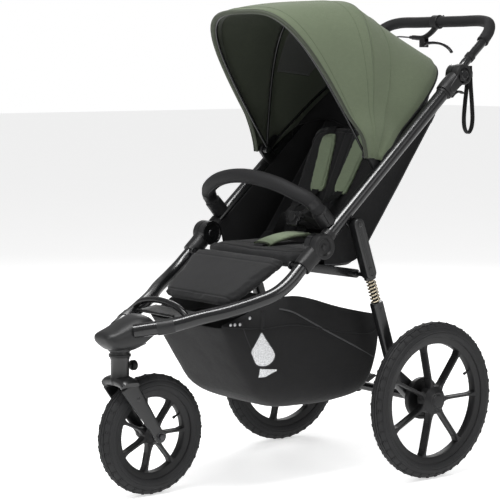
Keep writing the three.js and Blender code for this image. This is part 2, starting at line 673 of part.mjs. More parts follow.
// ---------------------------------------------------------------- shopping basket
const BASKET_STATIONS = [
  { y: -311, half: 148, top: 424, bottom: 416 },
  { y: -292, half: 153, top: 431, bottom: 383 },
  { y: -255, half: 161, top: 446, bottom: 320 },
  { y: -220, half: 168, top: 462, bottom: 264 },
  { y: -192, half: 173, top: 473, bottom: 224 },
  { y: -160, half: 176, top: 481, bottom: 205 },
  { y: -119, half: 178, top: 486, bottom: 193 },
  { y: 15, half: 178, top: 449, bottom: 189 },
  { y: 130, half: 178, top: 422, bottom: 202 },
  { y: 152, half: 178, top: 417, bottom: 230 },
  { y: 168, half: 178, top: 413, bottom: 290 },
];
const CLOTH = 5;

// Trough through the stations, with its bottom corners rounded off.
function trough(stations, inset, topLift) {
  const ring = [];
  for (const { y, half, top, bottom } of stations) {
    const w = half - inset;
    const low = bottom + inset;
    const high = Math.max(top + topLift, low + 1);
    const corner = Math.min(30, (high - low) / 3);
    ring.push([
      [-w, y, high], [-w, y, low + corner], [-w + corner, y, low],
      [w - corner, y, low], [w, y, low + corner], [w, y, high],
    ]);
  }
  const positions = ring.flat(2);
  const index = [];
  const sides = 6;
  for (let i = 0; i + 1 < ring.length; i += 1) {
    for (let j = 0; j < sides; j += 1) {
      const a = i * sides + j;
      const b = i * sides + ((j + 1) % sides);
      index.push(a, b + sides, b, a, a + sides, b + sides);
    }
  }
  for (let j = 1; j + 1 < sides; j += 1) {
    const last = (ring.length - 1) * sides;
    index.push(0, j, j + 1);
    index.push(last, last + j + 1, last + j);
  }
  const geometry = new THREE.BufferGeometry();
  geometry.setAttribute('position', new THREE.Float32BufferAttribute(positions, 3));
  geometry.setIndex(index);
  return solid(geometry);
}

function addBasket() {
  const shell = trough(BASKET_STATIONS, 0, 0);
  const inner = BASKET_STATIONS.map((station) => ({ ...station }));
  inner[0].y += CLOTH;
  inner[inner.length - 1].y -= CLOTH;
  inner[inner.length - 2].y -= CLOTH;
  inner[1].y += CLOTH;
  add('basket', cut(shell, trough(inner, CLOTH, 40)), 'charcoal');
}

// ---------------------------------------------------------------- canopy
// Point of a canopy hoop: phi runs from one side to the other, angle leans the hoop.
function hoopPoint(half, height, phi, angleDegrees) {
  const n = CANOPY_SQUARENESS;
  const c = Math.cos(phi);
  const s = Math.sin(phi);
  const reach = (Math.abs(c) ** n + Math.abs(s) ** n) ** (-1 / n);
  const rise = height * s * reach;
  const angle = THREE.MathUtils.degToRad(angleDegrees);
  return [half * c * reach, CANOPY.y + rise * Math.cos(angle), CANOPY.z + rise * Math.sin(angle)];
}

// Height of the roof above the pivots, for a hoop leaning at the given angle. Behind the middle
// hoop the cloth is pulled straight.
function roofHeight(angleDegrees) {
  const t = (angleDegrees - CANOPY_MID_ANGLE) / (CANOPY_FRONT_ANGLE - CANOPY_MID_ANGLE);
  if (t > 0) return CANOPY_MID_HEIGHT + 48 * t * t;
  const between = (a, b) => Math.sin(THREE.MathUtils.degToRad(a - b));
  const product = CANOPY_MID_HEIGHT * CANOPY_REAR_HEIGHT * between(CANOPY_MID_ANGLE, CANOPY_REAR_ANGLE);
  return product / (CANOPY_MID_HEIGHT * between(CANOPY_MID_ANGLE, angleDegrees)
    + CANOPY_REAR_HEIGHT * between(angleDegrees, CANOPY_REAR_ANGLE));
}

function bow(half, height, angleDegrees, phiStart, ends) {
  const points = [];
  const count = 18;
  for (let i = 0; i <= count; i += 1) {
    const phi = phiStart + ((Math.PI - 2 * phiStart) * i) / count;
    points.push(hoopPoint(half, height, phi, angleDegrees));
  }
  const rod = tube(points, BOW_RADIUS, { steps: 24, sides: 6 });
  return ends ? join(rod, ends, mirrored(ends)) : rod;
}

function canopyPanel(fromAngle, toAngle) {
  const thickness = 3;
  const phiStart = THREE.MathUtils.degToRad(9);
  const at = (offset) => (u, v) => {
    const phi = phiStart + (Math.PI - 2 * phiStart) * u;
    const angle = fromAngle + (toAngle - fromAngle) * v;
    return hoopPoint(CANOPY_HALF - offset, roofHeight(angle) - offset, phi, angle);
  };
  return thickSheet(18, 3, at(0), at(thickness));
}

function addCanopy() {
  const disc = (x0, x1) => drum(CANOPY.y, CANOPY.z, 11, x0, x1, 14);
  const midBow = bow(201, roofHeight(CANOPY_MID_ANGLE) - 10, CANOPY_MID_ANGLE, 0.02, disc(198, 205.4));
  add('canopy_mid_bow', midBow, 'frame');
  const frontBow = bow(193.5, roofHeight(CANOPY_FRONT_ANGLE) - 10, CANOPY_FRONT_ANGLE, 0.02, disc(190, 197.4));
  add('canopy_front_bow', frontBow, 'frame');
  const rearBow = bow(201, roofHeight(CANOPY_REAR_ANGLE) - 10, CANOPY_REAR_ANGLE, 0.11);
  add('canopy_rear_bow', rearBow, 'frame');
  add('canopy_front_panel', canopyPanel(CANOPY_FRONT_ANGLE, CANOPY_MID_ANGLE + 0.1), 'sage');
  add('canopy_rear_panel', canopyPanel(CANOPY_MID_ANGLE - 0.1, CANOPY_REAR_ANGLE), 'sage');
}

addWheels();
addFork();
addLowerFrame();
addHinges();
addUpperFrame();
addBumper();
addHandle();
addLegs();
addSeat();
addBasket();
addCanopy();

export default stroller;
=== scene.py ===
import math

import bmesh
import bpy
from mathutils import Matrix, Vector


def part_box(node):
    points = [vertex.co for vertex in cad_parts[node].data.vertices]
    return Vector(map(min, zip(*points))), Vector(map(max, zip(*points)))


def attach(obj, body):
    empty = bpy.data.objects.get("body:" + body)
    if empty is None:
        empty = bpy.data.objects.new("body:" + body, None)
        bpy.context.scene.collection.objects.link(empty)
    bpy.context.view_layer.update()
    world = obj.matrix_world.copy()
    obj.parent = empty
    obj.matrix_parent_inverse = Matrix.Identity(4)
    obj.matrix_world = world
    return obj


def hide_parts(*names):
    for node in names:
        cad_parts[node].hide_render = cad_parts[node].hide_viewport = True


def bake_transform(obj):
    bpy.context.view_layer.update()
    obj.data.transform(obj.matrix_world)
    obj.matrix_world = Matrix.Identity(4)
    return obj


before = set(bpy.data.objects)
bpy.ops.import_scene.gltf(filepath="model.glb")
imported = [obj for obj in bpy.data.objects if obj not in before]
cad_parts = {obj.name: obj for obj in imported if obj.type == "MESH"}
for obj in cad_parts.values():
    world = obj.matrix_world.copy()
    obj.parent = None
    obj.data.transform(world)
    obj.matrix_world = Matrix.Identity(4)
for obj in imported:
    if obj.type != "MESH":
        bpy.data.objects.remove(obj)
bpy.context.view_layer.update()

# The stroller faces -Y and +X is the seated child's left. Shapes are drawn in millimetres.
# piece() turns them into metres.
MM = 0.001
FULL_TURN = 2 * math.pi
SOFTNESS_FRAMES = 20

# ---------------------------------------------------------------- camera and light
AIM = Vector((0, -0.10859, 0.58176))
VIEW_DISTANCE = 4.44473
VIEW_TURN = math.radians(51.7)
VIEW_LIFT = math.radians(6.02)
VIEW_LENS = 126.28                     # focal length and frame width in millimetres
VIEW_FRAME_WIDTH = 36
ROOM_LIGHT = 0.36                      # strength of the even light from all round


def add_camera():
    camera = bpy.data.objects.new("camera", bpy.data.cameras.new("camera"))
    bpy.context.scene.collection.objects.link(camera)
    back = Vector((
        math.sin(VIEW_TURN) * math.cos(VIEW_LIFT),
        -math.cos(VIEW_TURN) * math.cos(VIEW_LIFT),
        math.sin(VIEW_LIFT),
    ))
    camera.location = AIM + back * VIEW_DISTANCE
    camera.rotation_euler = (-back).to_track_quat("-Z", "Y").to_euler()
    camera.data.lens = VIEW_LENS
    camera.data.sensor_width = VIEW_FRAME_WIDTH
    camera.data.clip_end = 60
    bpy.context.scene.camera = camera


def add_softbox(name, place, aim, width, height, power, tint=(1, 1, 1)):
    lamp = bpy.data.lights.new(name, "AREA")
    lamp.shape = "RECTANGLE"
    lamp.size = width
    lamp.size_y = height
    lamp.energy = power
    lamp.color = tint
    box = bpy.data.objects.new(name, lamp)
    bpy.context.scene.collection.objects.link(box)
    box.location = place
    box.rotation_euler = (Vector(aim) - Vector(place)).to_track_quat("-Z", "Y").to_euler()


def add_lights():
    add_softbox("top_softbox", (0.5, -0.9, 3.4), (0, 0, 0.6), 1.9, 0.55, 95)
    add_softbox("front_softbox", (0.6, -4.0, 2.6), (0, 0, 0.6), 2.6, 2.0, 62)
    add_softbox("side_softbox", (4.2, 0.4, 2.2), (0, 0, 0.6), 2.2, 2.0, 30)
    add_softbox("back_softbox", (-2.6, 2.6, 2.6), (0, 0, 0.7), 2.0, 1.6, 50)
    world = bpy.data.worlds.new("studio")
    world.use_nodes = True
    nodes = world.node_tree.nodes
    links = world.node_tree.links
    seen = nodes["Background"]
    seen.inputs["Color"].default_value = (1, 1, 1, 1)
    seen.inputs["Strength"].default_value = 1.0
    lit = nodes.new("ShaderNodeBackground")
    lit.inputs["Color"].default_value = (1, 1, 1, 1)
    lit.inputs["Strength"].default_value = ROOM_LIGHT
    either = nodes.new("ShaderNodeMixShader")
    ray = nodes.new("ShaderNodeLightPath")
    links.new(ray.outputs["Is Camera Ray"], either.inputs["Fac"])
    links.new(lit.outputs["Background"], either.inputs[1])
    links.new(seen.outputs["Background"], either.inputs[2])
    links.new(either.outputs["Shader"], nodes["World Output"].inputs["Surface"])
    bpy.context.scene.world = world
    bpy.context.scene.view_settings.view_transform = "Standard"


add_camera()


# ---------------------------------------------------------------- finishes
class Value:
    """A shader socket that can be used in sums."""

    def __init__(self, finish, socket):
        self.finish = finish
        self.socket = socket

    def sum_with(self, operation, first, second):
        return self.finish.node("ShaderNodeMath", {"operation": operation}, {0: first, 1: second})

    def __add__(self, other):
        return self.sum_with("ADD", self, other)

    def __sub__(self, other):
        return self.sum_with("SUBTRACT", self, other)

    def __rsub__(self, other):
        return self.sum_with("SUBTRACT", other, self)

    def __mul__(self, other):
        return self.sum_with("MULTIPLY", self, other)

    def __pow__(self, other):
        return self.sum_with("POWER", self, other)

    __radd__ = __add__
    __rmul__ = __mul__


class Finish:
    """One procedural material, built up node by node."""

    def __init__(self, name):
        self.material = bpy.data.materials.new(name)
        self.material.use_nodes = True
        self.tree = self.material.node_tree
        self.tree.nodes.clear()

    def node(self, kind, settings=None, sockets=None, output=0):
        made = self.tree.nodes.new(kind)
        for name, value in (settings or {}).items():
            if name == "stops":
                self.set_stops(made.color_ramp, value)
            else:
                setattr(made, name, value)
        for name, value in (sockets or {}).items():
            if isinstance(value, Value):
                self.tree.links.new(value.socket, made.inputs[name])
            else:
                made.inputs[name].default_value = value
        return Value(self, made.outputs[output])

    @staticmethod
    def set_stops(ramp, stops):
        while len(ramp.elements) < len(stops):
            ramp.elements.new(1)
        for element, (place, colour) in zip(ramp.elements, stops):
            element.position = place
            element.color = (*colour, 1)

    def place(self):
        return self.node("ShaderNodeTexCoord", output="Object")

    def stretched(self, scale):
        return self.node("ShaderNodeMapping", {}, {"Vector": self.place(), "Scale": scale})

    def noise(self, scale, detail=3.0, roughness=0.55, vector=None):
        sockets = {"Vector": vector or self.place(), "Scale": scale, "Detail": detail}
        sockets["Roughness"] = roughness
        return self.node("ShaderNodeTexNoise", {}, sockets, "Fac")

    def cells(self, scale, feature="F1"):
        settings = {"feature": feature}
        return self.node("ShaderNodeTexVoronoi", settings, {"Vector": self.place(), "Scale": scale},
                         "Distance")

    def between(self, factor, first, second):
        settings = {"data_type": "RGBA"}
        return self.node("ShaderNodeMix", settings, {0: factor, 6: first, 7: second}, 2)

    def ramp(self, factor, stops):
        return self.node("ShaderNodeValToRGB", {"stops": stops}, {"Fac": factor}, "Color")

    def limited(self, value, low, high):
        """value spread from low..high to 0..1 and held there."""
        sockets = {"Value": value, "From Min": low, "From Max": high}
        return self.node("ShaderNodeMapRange", {"clamp": True}, sockets, "Result")

    def sine(self, value):
        return self.node("ShaderNodeMath", {"operation": "SINE"}, {0: value})

    def bump(self, height, distance, strength, under=None):
        sockets = {"Height": height, "Distance": distance, "Strength": strength}
        if under:
            sockets["Normal"] = under
        return self.node("ShaderNodeBump", {}, sockets, "Normal")

    def done(self, colour, roughness, normal, fixed=None):
        sockets = {"Base Color": colour, "Roughness": roughness, "Normal": normal}
        sockets.update(fixed or {})
        surface = self.node("ShaderNodeBsdfPrincipled", {}, sockets, "BSDF")
        self.node_end(surface)
        return self.material

    def node_end(self, surface):
        end = self.tree.nodes.new("ShaderNodeOutputMaterial")
        self.tree.links.new(surface.socket, end.inputs["Surface"])


def rgb(red, green, blue):
    return (red, green, blue, 1)


def shade(colour, factor):
    return rgb(*[c * factor for c in colour])


def painted(name, colour, roughness):
    """Powder-coated metal: fine orange peel, faint handling marks."""
    f = Finish(name)
    peel = f.noise(900, 2)
    marks = f.noise(26, 5, 0.65)
    scuffs = f.limited(f.noise(140, 6, 0.7, f.stretched((1, 1, 0.15))), 0.62, 0.8)
    tone = f.between(marks, shade(colour, 0.75), shade(colour, 1.3))
    tone = f.between(scuffs * 0.35, tone, shade(colour, 2.6))
    gloss = marks * 0.12 + scuffs * 0.15 + (roughness - 0.08)
    normal = f.bump(peel, 0.0002, 0.22)
    fixed = {"Coat Weight": 0.22, "Coat Roughness": 0.12, "Specular IOR Level": 0.4}
    return f.done(tone, gloss, normal, fixed)


def moulded(name, colour, roughness, grain=620, depth=0.00025):
    """Black moulded plastic with a fine leather grain."""
    f = Finish(name)
    pits = f.cells(grain)
    haze = f.noise(18, 4)
    dust = f.limited(f.noise(60, 6, 0.7), 0.5, 0.78)
    tone = f.between(haze, shade(colour, 0.78), shade(colour, 1.25))
    tone = f.between(dust * 0.25, tone, shade(colour, 2.2))
    gloss = pits * 0.1 + haze * 0.12 + dust * 0.1 + (roughness - 0.12)
    return f.done(tone, gloss, f.bump(pits + haze * 0.3, depth, 0.35), {"Specular IOR Level": 0.34})


def rubber(name, colour, roughness):
    """Tyre rubber: mottled and a little dusty."""
    f = Finish(name)
    mottle = f.noise(38, 6, 0.65)
    fine = f.noise(700, 3)
    dust = f.limited(f.noise(9, 5, 0.6), 0.45, 0.75)
    tone = f.between(mottle, shade(colour, 0.72), shade(colour, 1.3))
    tone = f.between(dust * 0.4, tone, shade(colour, 1.7))
    gloss = mottle * 0.16 + (roughness - 0.1)
    normal = f.bump(mottle, 0.0009, 0.22, f.bump(fine, 0.0003, 0.4))
    return f.done(tone, gloss, normal, {"Specular IOR Level": 0.28})


def foam(name, colour):
    """Closed-cell foam sleeve with small pores."""
    f = Finish(name)
    pores = f.cells(900)
    skin = f.noise(240, 4)
    tone = f.between(skin, shade(colour, 0.75), shade(colour, 1.35))
    gloss = pores * 0.1 + skin * 0.1 + 0.58
    return f.done(tone, gloss, f.bump(pores + skin * 0.6, 0.0004, 0.45), {"Specular IOR Level": 0.25})


def metal(name, colour, roughness):
    f = Finish(name)
    drawn = f.noise(420, 3, 0.6, f.stretched((1, 1, 0.12)))
    stain = f.noise(60, 4)
    tone = f.between(stain, shade(colour, 0.8), shade(colour, 1.15))
    gloss = drawn * 0.18 + (roughness - 0.06)
    return f.done(tone, gloss, f.bump(drawn, 0.0001, 0.3), {"Metallic": 1.0})


THREAD_WAVES = 3800                    # waves of the weave, in radians per metre


def threads(f, waves=THREAD_WAVES):
    """Over-and-under weave that holds on a face of any direction."""
    axes = f.node("ShaderNodeSeparateXYZ", {}, {0: f.place()}, 0).socket.node
    x, y, z = [f.sine(Value(f, axes.outputs[i]) * waves) for i in range(3)]
    return x * y + y * z + z * x


def woven(name, colour, roughness, contrast, crumple, sheen):
    """Polyester cloth: two-tone yarns, a plain weave and soft crumpling."""
    f = Finish(name)
    weave = threads(f)
    yarn = f.noise(520, 4, 0.7)
    slub = f.noise(70, 5, 0.6, f.stretched((1, 1, 3.5)))
    fade = f.noise(5, 3)
    tone = f.between(f.limited(yarn, 0.3, 0.72), shade(colour, 1 - contrast), shade(colour, 1 + contrast))
    tone = f.between(f.limited(slub, 0.45, 0.8) * 0.35, tone, shade(colour, 1.3))
    tone = f.between(f.limited(fade, 0.35, 0.75) * 0.4, tone, shade(colour, 0.82))
    folds = f.bump(f.noise(13, 4, 0.5), 0.012, crumple * 0.5)
    cloth = f.bump(weave * 0.22 + yarn * 0.5, 0.0005, 0.55, folds)
    gloss = yarn * 0.1 + (roughness - 0.05)
    fixed = {"Sheen Weight": sheen, "Sheen Roughness": 0.5, "Specular IOR Level": 0.2}
    return f.done(tone, gloss, cloth, fixed)


def webbing(name, colour):
    """Harness strap: coarse ribs across and along."""
    f = Finish(name)
    ribs = threads(f, 2300)
    yarn = f.noise(600, 3)
    tone = f.between(f.limited(ribs, -0.8, 1.2), shade(colour, 0.6), shade(colour, 1.5))
    return f.done(tone, yarn * 0.15 + 0.55, f.bump(ribs + yarn * 0.3, 0.0006, 0.6),
                  {"Specular IOR Level": 0.25})


def open_mesh(name, colour, gap):
    """Knitted air mesh: light threads around dark holes."""
    f = Finish(name)
    holes = f.limited(f.cells(640), 0.32, 0.5)
    tone = f.between(holes, shade(gap, 1), shade(colour, 1))
    return f.done(tone, holes * 0.2 + 0.6, f.bump(holes, 0.0006, 0.6), {"Sheen Weight": 0.1})


frame_paint = painted("frame_paint", (0.0055, 0.0057, 0.0062), 0.27)
casting_paint = painted("casting_paint", (0.0058, 0.006, 0.0064), 0.38)
hub_plastic = moulded("hub_plastic", (0.0056, 0.0056, 0.006), 0.46)
nose_plastic = moulded("nose_plastic", (0.0115, 0.0117, 0.0122), 0.42)
wheel_plastic = moulded("wheel_plastic", (0.0052, 0.0052, 0.0057), 0.5, 480)
gloss_plastic = moulded("gloss_plastic", (0.0055, 0.0055, 0.006), 0.26, 900, 0.0001)
tyre_rubber = rubber("tyre_rubber", (0.0125, 0.0126, 0.0133), 0.66)
grip_foam = foam("grip_foam", (0.0085, 0.0085, 0.009))
bumper_foam = foam("bumper_foam", (0.008, 0.008, 0.0086))
cable_cover = moulded("cable_cover", (0.0075, 0.0075, 0.008), 0.42, 1200, 0.0001)
spring_metal = metal("spring_metal", (0.5, 0.44, 0.33), 0.3)
zinc_steel = metal("zinc_steel", (0.42, 0.42, 0.43), 0.34)
dark_steel = metal("dark_steel", (0.07, 0.07, 0.074), 0.36)
charcoal_cloth = woven("charcoal_cloth", (0.0105, 0.0106, 0.0112), 0.86, 0.3, 0.35, 0.12)
black_cloth = woven("black_cloth", (0.0062, 0.0062, 0.0067), 0.84, 0.3, 0.45, 0.06)
basket_cloth = woven("basket_cloth", (0.0062, 0.0062, 0.0066), 0.7, 0.22, 0.5, 0.05)
sage_cloth = woven("sage_cloth", (0.1, 0.122, 0.077), 0.88, 0.14, 0.22, 0.08)
pad_cloth = woven("pad_cloth", (0.175, 0.215, 0.14), 0.9, 0.16, 0.35, 0.12)
lining_cloth = woven("lining_cloth", (0.052, 0.06, 0.043), 0.85, 0.2, 0.4, 0.1)
strap_cloth = webbing("strap_cloth", (0.0085, 0.0085, 0.009))
piping_cloth = woven("piping_cloth", (0.045, 0.046, 0.048), 0.7, 0.2, 0.1, 0.1)
binding_cloth = woven("binding_cloth", (0.038, 0.044, 0.031), 0.8, 0.2, 0.1, 0.1)
sage_thread = woven("sage_thread", (0.09, 0.11, 0.07), 0.8, 0.2, 0.1, 0.05)
seam_thread = woven("seam_thread", (0.05, 0.059, 0.04), 0.8, 0.2, 0.1, 0.05)
dark_thread = woven("dark_thread", (0.028, 0.028, 0.03), 0.7, 0.2, 0.1, 0.05)
vent_mesh = open_mesh("vent_mesh", (0.72, 0.73, 0.74), (0.3, 0.3, 0.31))
window_mesh = open_mesh("window_mesh", (0.06, 0.063, 0.058), (0.018, 0.019, 0.018))


# ---------------------------------------------------------------- shaping tools
def joined(*shapes):
    """One shape from several."""
    whole = bmesh.new()
    for shape in shapes:
        spare = bpy.data.meshes.new("spare")
        shape.to_mesh(spare)
        whole.from_mesh(spare)
        bpy.data.meshes.remove(spare)
        shape.free()
    return whole


def other_side(shape):
    """Copy of a left-hand shape for the right."""
    copy = shape.copy()
    bmesh.ops.scale(copy, vec=(-1, 1, 1), verts=copy.verts)
    bmesh.ops.reverse_faces(copy, faces=copy.faces)
    return copy


def moved(shape, x, y, z):
    bmesh.ops.translate(shape, vec=(x, y, z), verts=shape.verts)
    return shape


def put(shape, matrix):
    bmesh.ops.transform(shape, matrix=matrix, verts=shape.verts)
    return shape


def rounded(shape, width, segments=2, sharper_than=30):
    """Rounds every edge that is sharper than an angle."""
    limit = math.radians(sharper_than)
    edges = [e for e in shape.edges if len(e.link_faces) == 2 and e.calc_face_angle() > limit]
    bmesh.ops.bevel(
        shape, geom=edges, offset=width, offset_type="OFFSET", segments=segments,
        profile=0.5, affect="EDGES", clamp_overlap=True, material=-1,
    )
    return shape


def piece(name, shape, finish, body=None, stands_for=(), crease=38, closed=True):
    """Makes the object of a finished shape and tells the frame where it belongs."""
    bmesh.ops.remove_doubles(shape, verts=shape.verts, dist=0.001)
    if closed:
        bmesh.ops.recalc_face_normals(shape, faces=shape.faces)
    bmesh.ops.scale(shape, vec=(MM, MM, MM), verts=shape.verts)
    mesh = bpy.data.meshes.new(name)
    shape.to_mesh(mesh)
    shape.free()
    mesh.polygons.foreach_set("use_smooth", [True] * len(mesh.polygons))
    mesh.set_sharp_from_angle(angle=math.radians(crease))
    mesh.materials.append(finish)
    made = bpy.data.objects.new(name, mesh)
    bpy.context.scene.collection.objects.link(made)
    if body:
        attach(made, body)
    if stands_for:
        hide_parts(*([stands_for] if isinstance(stands_for, str) else stands_for))
    return made


def pair(name, left, finish, bodies, stands_for=None, crease=38):
    """The same piece on both sides. bodies is one name, or the left and the right one."""
    both = (bodies, bodies) if isinstance(bodies, str) else bodies
    right = other_side(left)
    made = []
    for side, shape, body in (("left", left, both[0]), ("right", right, both[1])):
        node = f"{stands_for}_{side}" if stands_for else ()
        made.append(piece(f"{name}_{side}", shape, finish, body, node, crease))
    return made


def along(start, angle, distance, sideways=0.0):
    """Point (y, z) at a distance from a start, in a direction in the side plane."""
    return (
        start[0] + distance * math.cos(angle) - sideways * math.sin(angle),
        start[1] + distance * math.sin(angle) + sideways * math.cos(angle),
    )


def smooth_line(points, count):
    """count + 1 even steps on a smooth line through the points."""
    own = [Vector(p) for p in points]
    if len(own) == 2:
        return [own[0].lerp(own[1], i / count) for i in range(count + 1)]
    line = [own[0] * 2 - own[1], *own, own[-1] * 2 - own[-2]]
    dense = [own[0]]
    for p0, p1, p2, p3 in zip(line, line[1:], line[2:], line[3:]):
        t1 = (p1 - p0).length ** 0.5
        t2 = t1 + (p2 - p1).length ** 0.5
        t3 = t2 + (p3 - p2).length ** 0.5
        for i in range(1, 17):
            t = t1 + (t2 - t1) * i / 16
            a1 = p0.lerp(p1, t / t1)
            a2 = p1.lerp(p2, (t - t1) / (t2 - t1))
            a3 = p2.lerp(p3, (t - t2) / (t3 - t2))
            b1 = a1.lerp(a2, t / t2)
            b2 = a2.lerp(a3, (t - t1) / (t3 - t1))
            dense.append(b1.lerp(b2, (t - t1) / (t2 - t1)))
    return evenly(dense, count)


def evenly(dense, count):
    reach = [0.0]
    for a, b in zip(dense, dense[1:]):
        reach.append(reach[-1] + (b - a).length)
    even, k = [], 0
    for i in range(count + 1):
        want = reach[-1] * i / count
        while k < len(dense) - 2 and reach[k + 1] < want:
            k += 1
        share = (want - reach[k]) / max(reach[k + 1] - reach[k], 1e-9)
        even.append(dense[k].lerp(dense[k + 1], min(max(share, 0), 1)))
    return even


def frames(line, size, across=(1, 0, 0), closed=False):
    """Places across a line without twist. size is a radius, a pair, or a function of the
    share of the line."""
    count = len(line)
    side = Vector(across)
    made = []
    for i, point in enumerate(line):
        before = line[i - 1] if i or closed else line[0]
        after = line[(i + 1) % count] if i + 1 < count or closed else line[-1]
        ahead = (after - before).normalized()
        if abs(side.normalized().dot(ahead)) > 0.97:
            side = ahead.orthogonal()
        side = (side - ahead * side.dot(ahead)).normalized()
        other = ahead.cross(side)
        now = size(i / (count - 1)) if callable(size) else size
        a, b = now if isinstance(now, tuple) else (now, now)
        matrix = Matrix((side * a, other * b, ahead)).transposed().to_4x4()
        matrix.translation = point
        made.append(matrix)
    return made


def sweep(places, sides=24, squareness=2.0, closed=False):
    """A round or squared section carried through the places, with its ends filled."""
    shape = bmesh.new()
    ring = bmesh.ops.create_circle(shape, segments=sides, radius=1)["verts"]
    for v in ring:
        v.co *= (abs(v.co.x) ** squareness + abs(v.co.y) ** squareness) ** (-1 / squareness)
    bmesh.ops.transform(shape, matrix=places[0], verts=ring)
    first = list(shape.edges)
    edges = first
    for before, after in zip(places, places[1:]):
        grown = bmesh.ops.extrude_edge_only(shape, edges=edges)["geom"]
        verts = [g for g in grown if isinstance(g, bmesh.types.BMVert)]
        new = set(verts)
        edges = [g for g in grown if isinstance(g, bmesh.types.BMEdge) and new.issuperset(g.verts)]
        bmesh.ops.transform(shape, matrix=after @ before.inverted(), verts=verts)
    if closed:
        bmesh.ops.bridge_loops(shape, edges=edges + first)
    else:
        bmesh.ops.holes_fill(shape, edges=first, sides=sides)
        bmesh.ops.holes_fill(shape, edges=edges, sides=sides)
    return shape


def rod(points, size, steps=60, sides=24, across=(1, 0, 0), ends=0.0, squareness=2.0):
    """Bar or tube on a smooth line. ends rounds both ends off over that length."""
    line = smooth_line(points, steps)
    places = frames(line, size, across)
    if ends:
        places = [*end_cap(places[0], -ends), *places, *end_cap(places[-1], ends)]
    return sweep(places, sides, squareness)


def end_cap(place, ends):
    """Smaller and smaller sections that round an end off."""
    caps = []
    for share in (0.35, 0.65, 0.87, 0.98):
        size = math.sqrt(1 - share * share)
        step = Matrix.Translation((0, 0, share * ends))
        shrink = Matrix.Diagonal((size, size, 1, 1))
        caps.append(place @ step @ shrink)
    return caps if ends > 0 else caps[::-1]


def turned(profile, centre, axis="X", steps=64, ring=False):
    """Spins a profile of (radius, distance along) pairs about an axle through centre."""
    shape = bmesh.new()
    verts = [shape.verts.new((d, 0, r)) for r, d in profile]
    chain = list(zip(verts, verts[1:]))
    if ring:
        chain.append((verts[-1], verts[0]))
    edges = [shape.edges.new(two) for two in chain]
    bmesh.ops.spin(
        shape, geom=verts + edges, cent=(0, 0, 0), axis=(1, 0, 0),
        angle=FULL_TURN, steps=steps, use_merge=True, use_duplicate=False,
    )
    bmesh.ops.remove_doubles(shape, verts=shape.verts, dist=0.001)
    if axis == "Z":
        bmesh.ops.rotate(shape, matrix=Matrix.Rotation(-math.pi / 2, 3, "Y"), verts=shape.verts)
    if axis == "Y":
        bmesh.ops.rotate(shape, matrix=Matrix.Rotation(math.pi / 2, 3, "Z"), verts=shape.verts)
    return moved(shape, *centre)


def slab(outline, x0, x1, bevel=1.5, segments=2):
    """Flat outline of (y, z) points with a thickness across the stroller, its edges rounded."""
    shape = bmesh.new()
    face = shape.faces.new([shape.verts.new((x0, y, z)) for y, z in outline])
    grown = bmesh.ops.extrude_face_region(shape, geom=[face], use_keep_orig=True)["geom"]
    far = [g for g in grown if isinstance(g, bmesh.types.BMVert)]
    bmesh.ops.translate(shape, vec=(x1 - x0, 0, 0), verts=far)
    bmesh.ops.recalc_face_normals(shape, faces=shape.faces)
    return rounded(shape, bevel, segments, 50) if bevel else shape


def link_outline(a, radius_a, b, radius_b, steps=12):
    """Outline round two circles, like a flat link."""
    lean = math.atan2(b[1] - a[1], b[0] - a[0])
    spread = math.acos((radius_a - radius_b) / math.dist(a, b))
    points = []
    for i in range(steps + 1):
        t = lean + spread + (FULL_TURN - 2 * spread) * i / steps
        points.append((a[0] + radius_a * math.cos(t), a[1] + radius_a * math.sin(t)))
    for i in range(steps + 1):
        t = lean - spread + 2 * spread * i / steps
        points.append((b[0] + radius_b * math.cos(t), b[1] + radius_b * math.sin(t)))
    return points


def block(size, centre, bevel=1.0, segments=2, turn=None):
    """Rounded block, turned about its own middle."""
    shape = bmesh.new()
    bmesh.ops.create_cube(shape, size=1)
    bmesh.ops.scale(shape, vec=size, verts=shape.verts)
    rounded(shape, bevel, segments)
    if turn:
        bmesh.ops.rotate(shape, matrix=turn, verts=shape.verts)
    return moved(shape, *centre)


def sink_panel(shape, facing, least, border, depth):
    """Sinks a panel into the large faces that look one way."""
    faces = [f for f in shape.faces if f.normal.dot(Vector(facing)) > 0.98 and f.calc_area() > least]
    bmesh.ops.inset_region(shape, faces=faces, thickness=border, depth=0, use_even_offset=True)
    bmesh.ops.inset_region(shape, faces=faces, thickness=depth, depth=-depth, use_even_offset=True)
    return shape


def cloth_grid(columns, rows, place):
    """Sheet of cloth: place(u, v) says where each point of an even grid lies."""
    shape = bmesh.new()
    bmesh.ops.create_grid(shape, x_segments=columns, y_segments=rows, size=0.5, calc_uvs=True)
    for v in shape.verts:
        v.co = place(v.co.x + 0.5, v.co.y + 0.5)
    return shape


def thickened(made, thickness, towards=-1):
    solid = made.modifiers.new("cloth thickness", "SOLIDIFY")
    solid.thickness = thickness * MM
    solid.offset = towards
    solid.use_even_offset = False
    return made


def bolt(x, y, z, radius=5.0, height=2.4):
    """Domed screw head with a small hollow, on a face that looks outwards."""
    profile = [(radius, 0), (radius, height * 0.45), (radius * 0.8, height * 0.85), (radius * 0.5, height)]
    head = turned([(0, 0), *profile, (radius * 0.42, height), (0, height)], (0, 0, 0), steps=24)
    bmesh.ops.translate(head, vec=(-height * 0.4, 0, 0), verts=[
        v for v in head.verts if v.co.x > height * 0.99 and math.hypot(v.co.y, v.co.z) < radius * 0.1
    ])
    return moved(head, x, y, z)


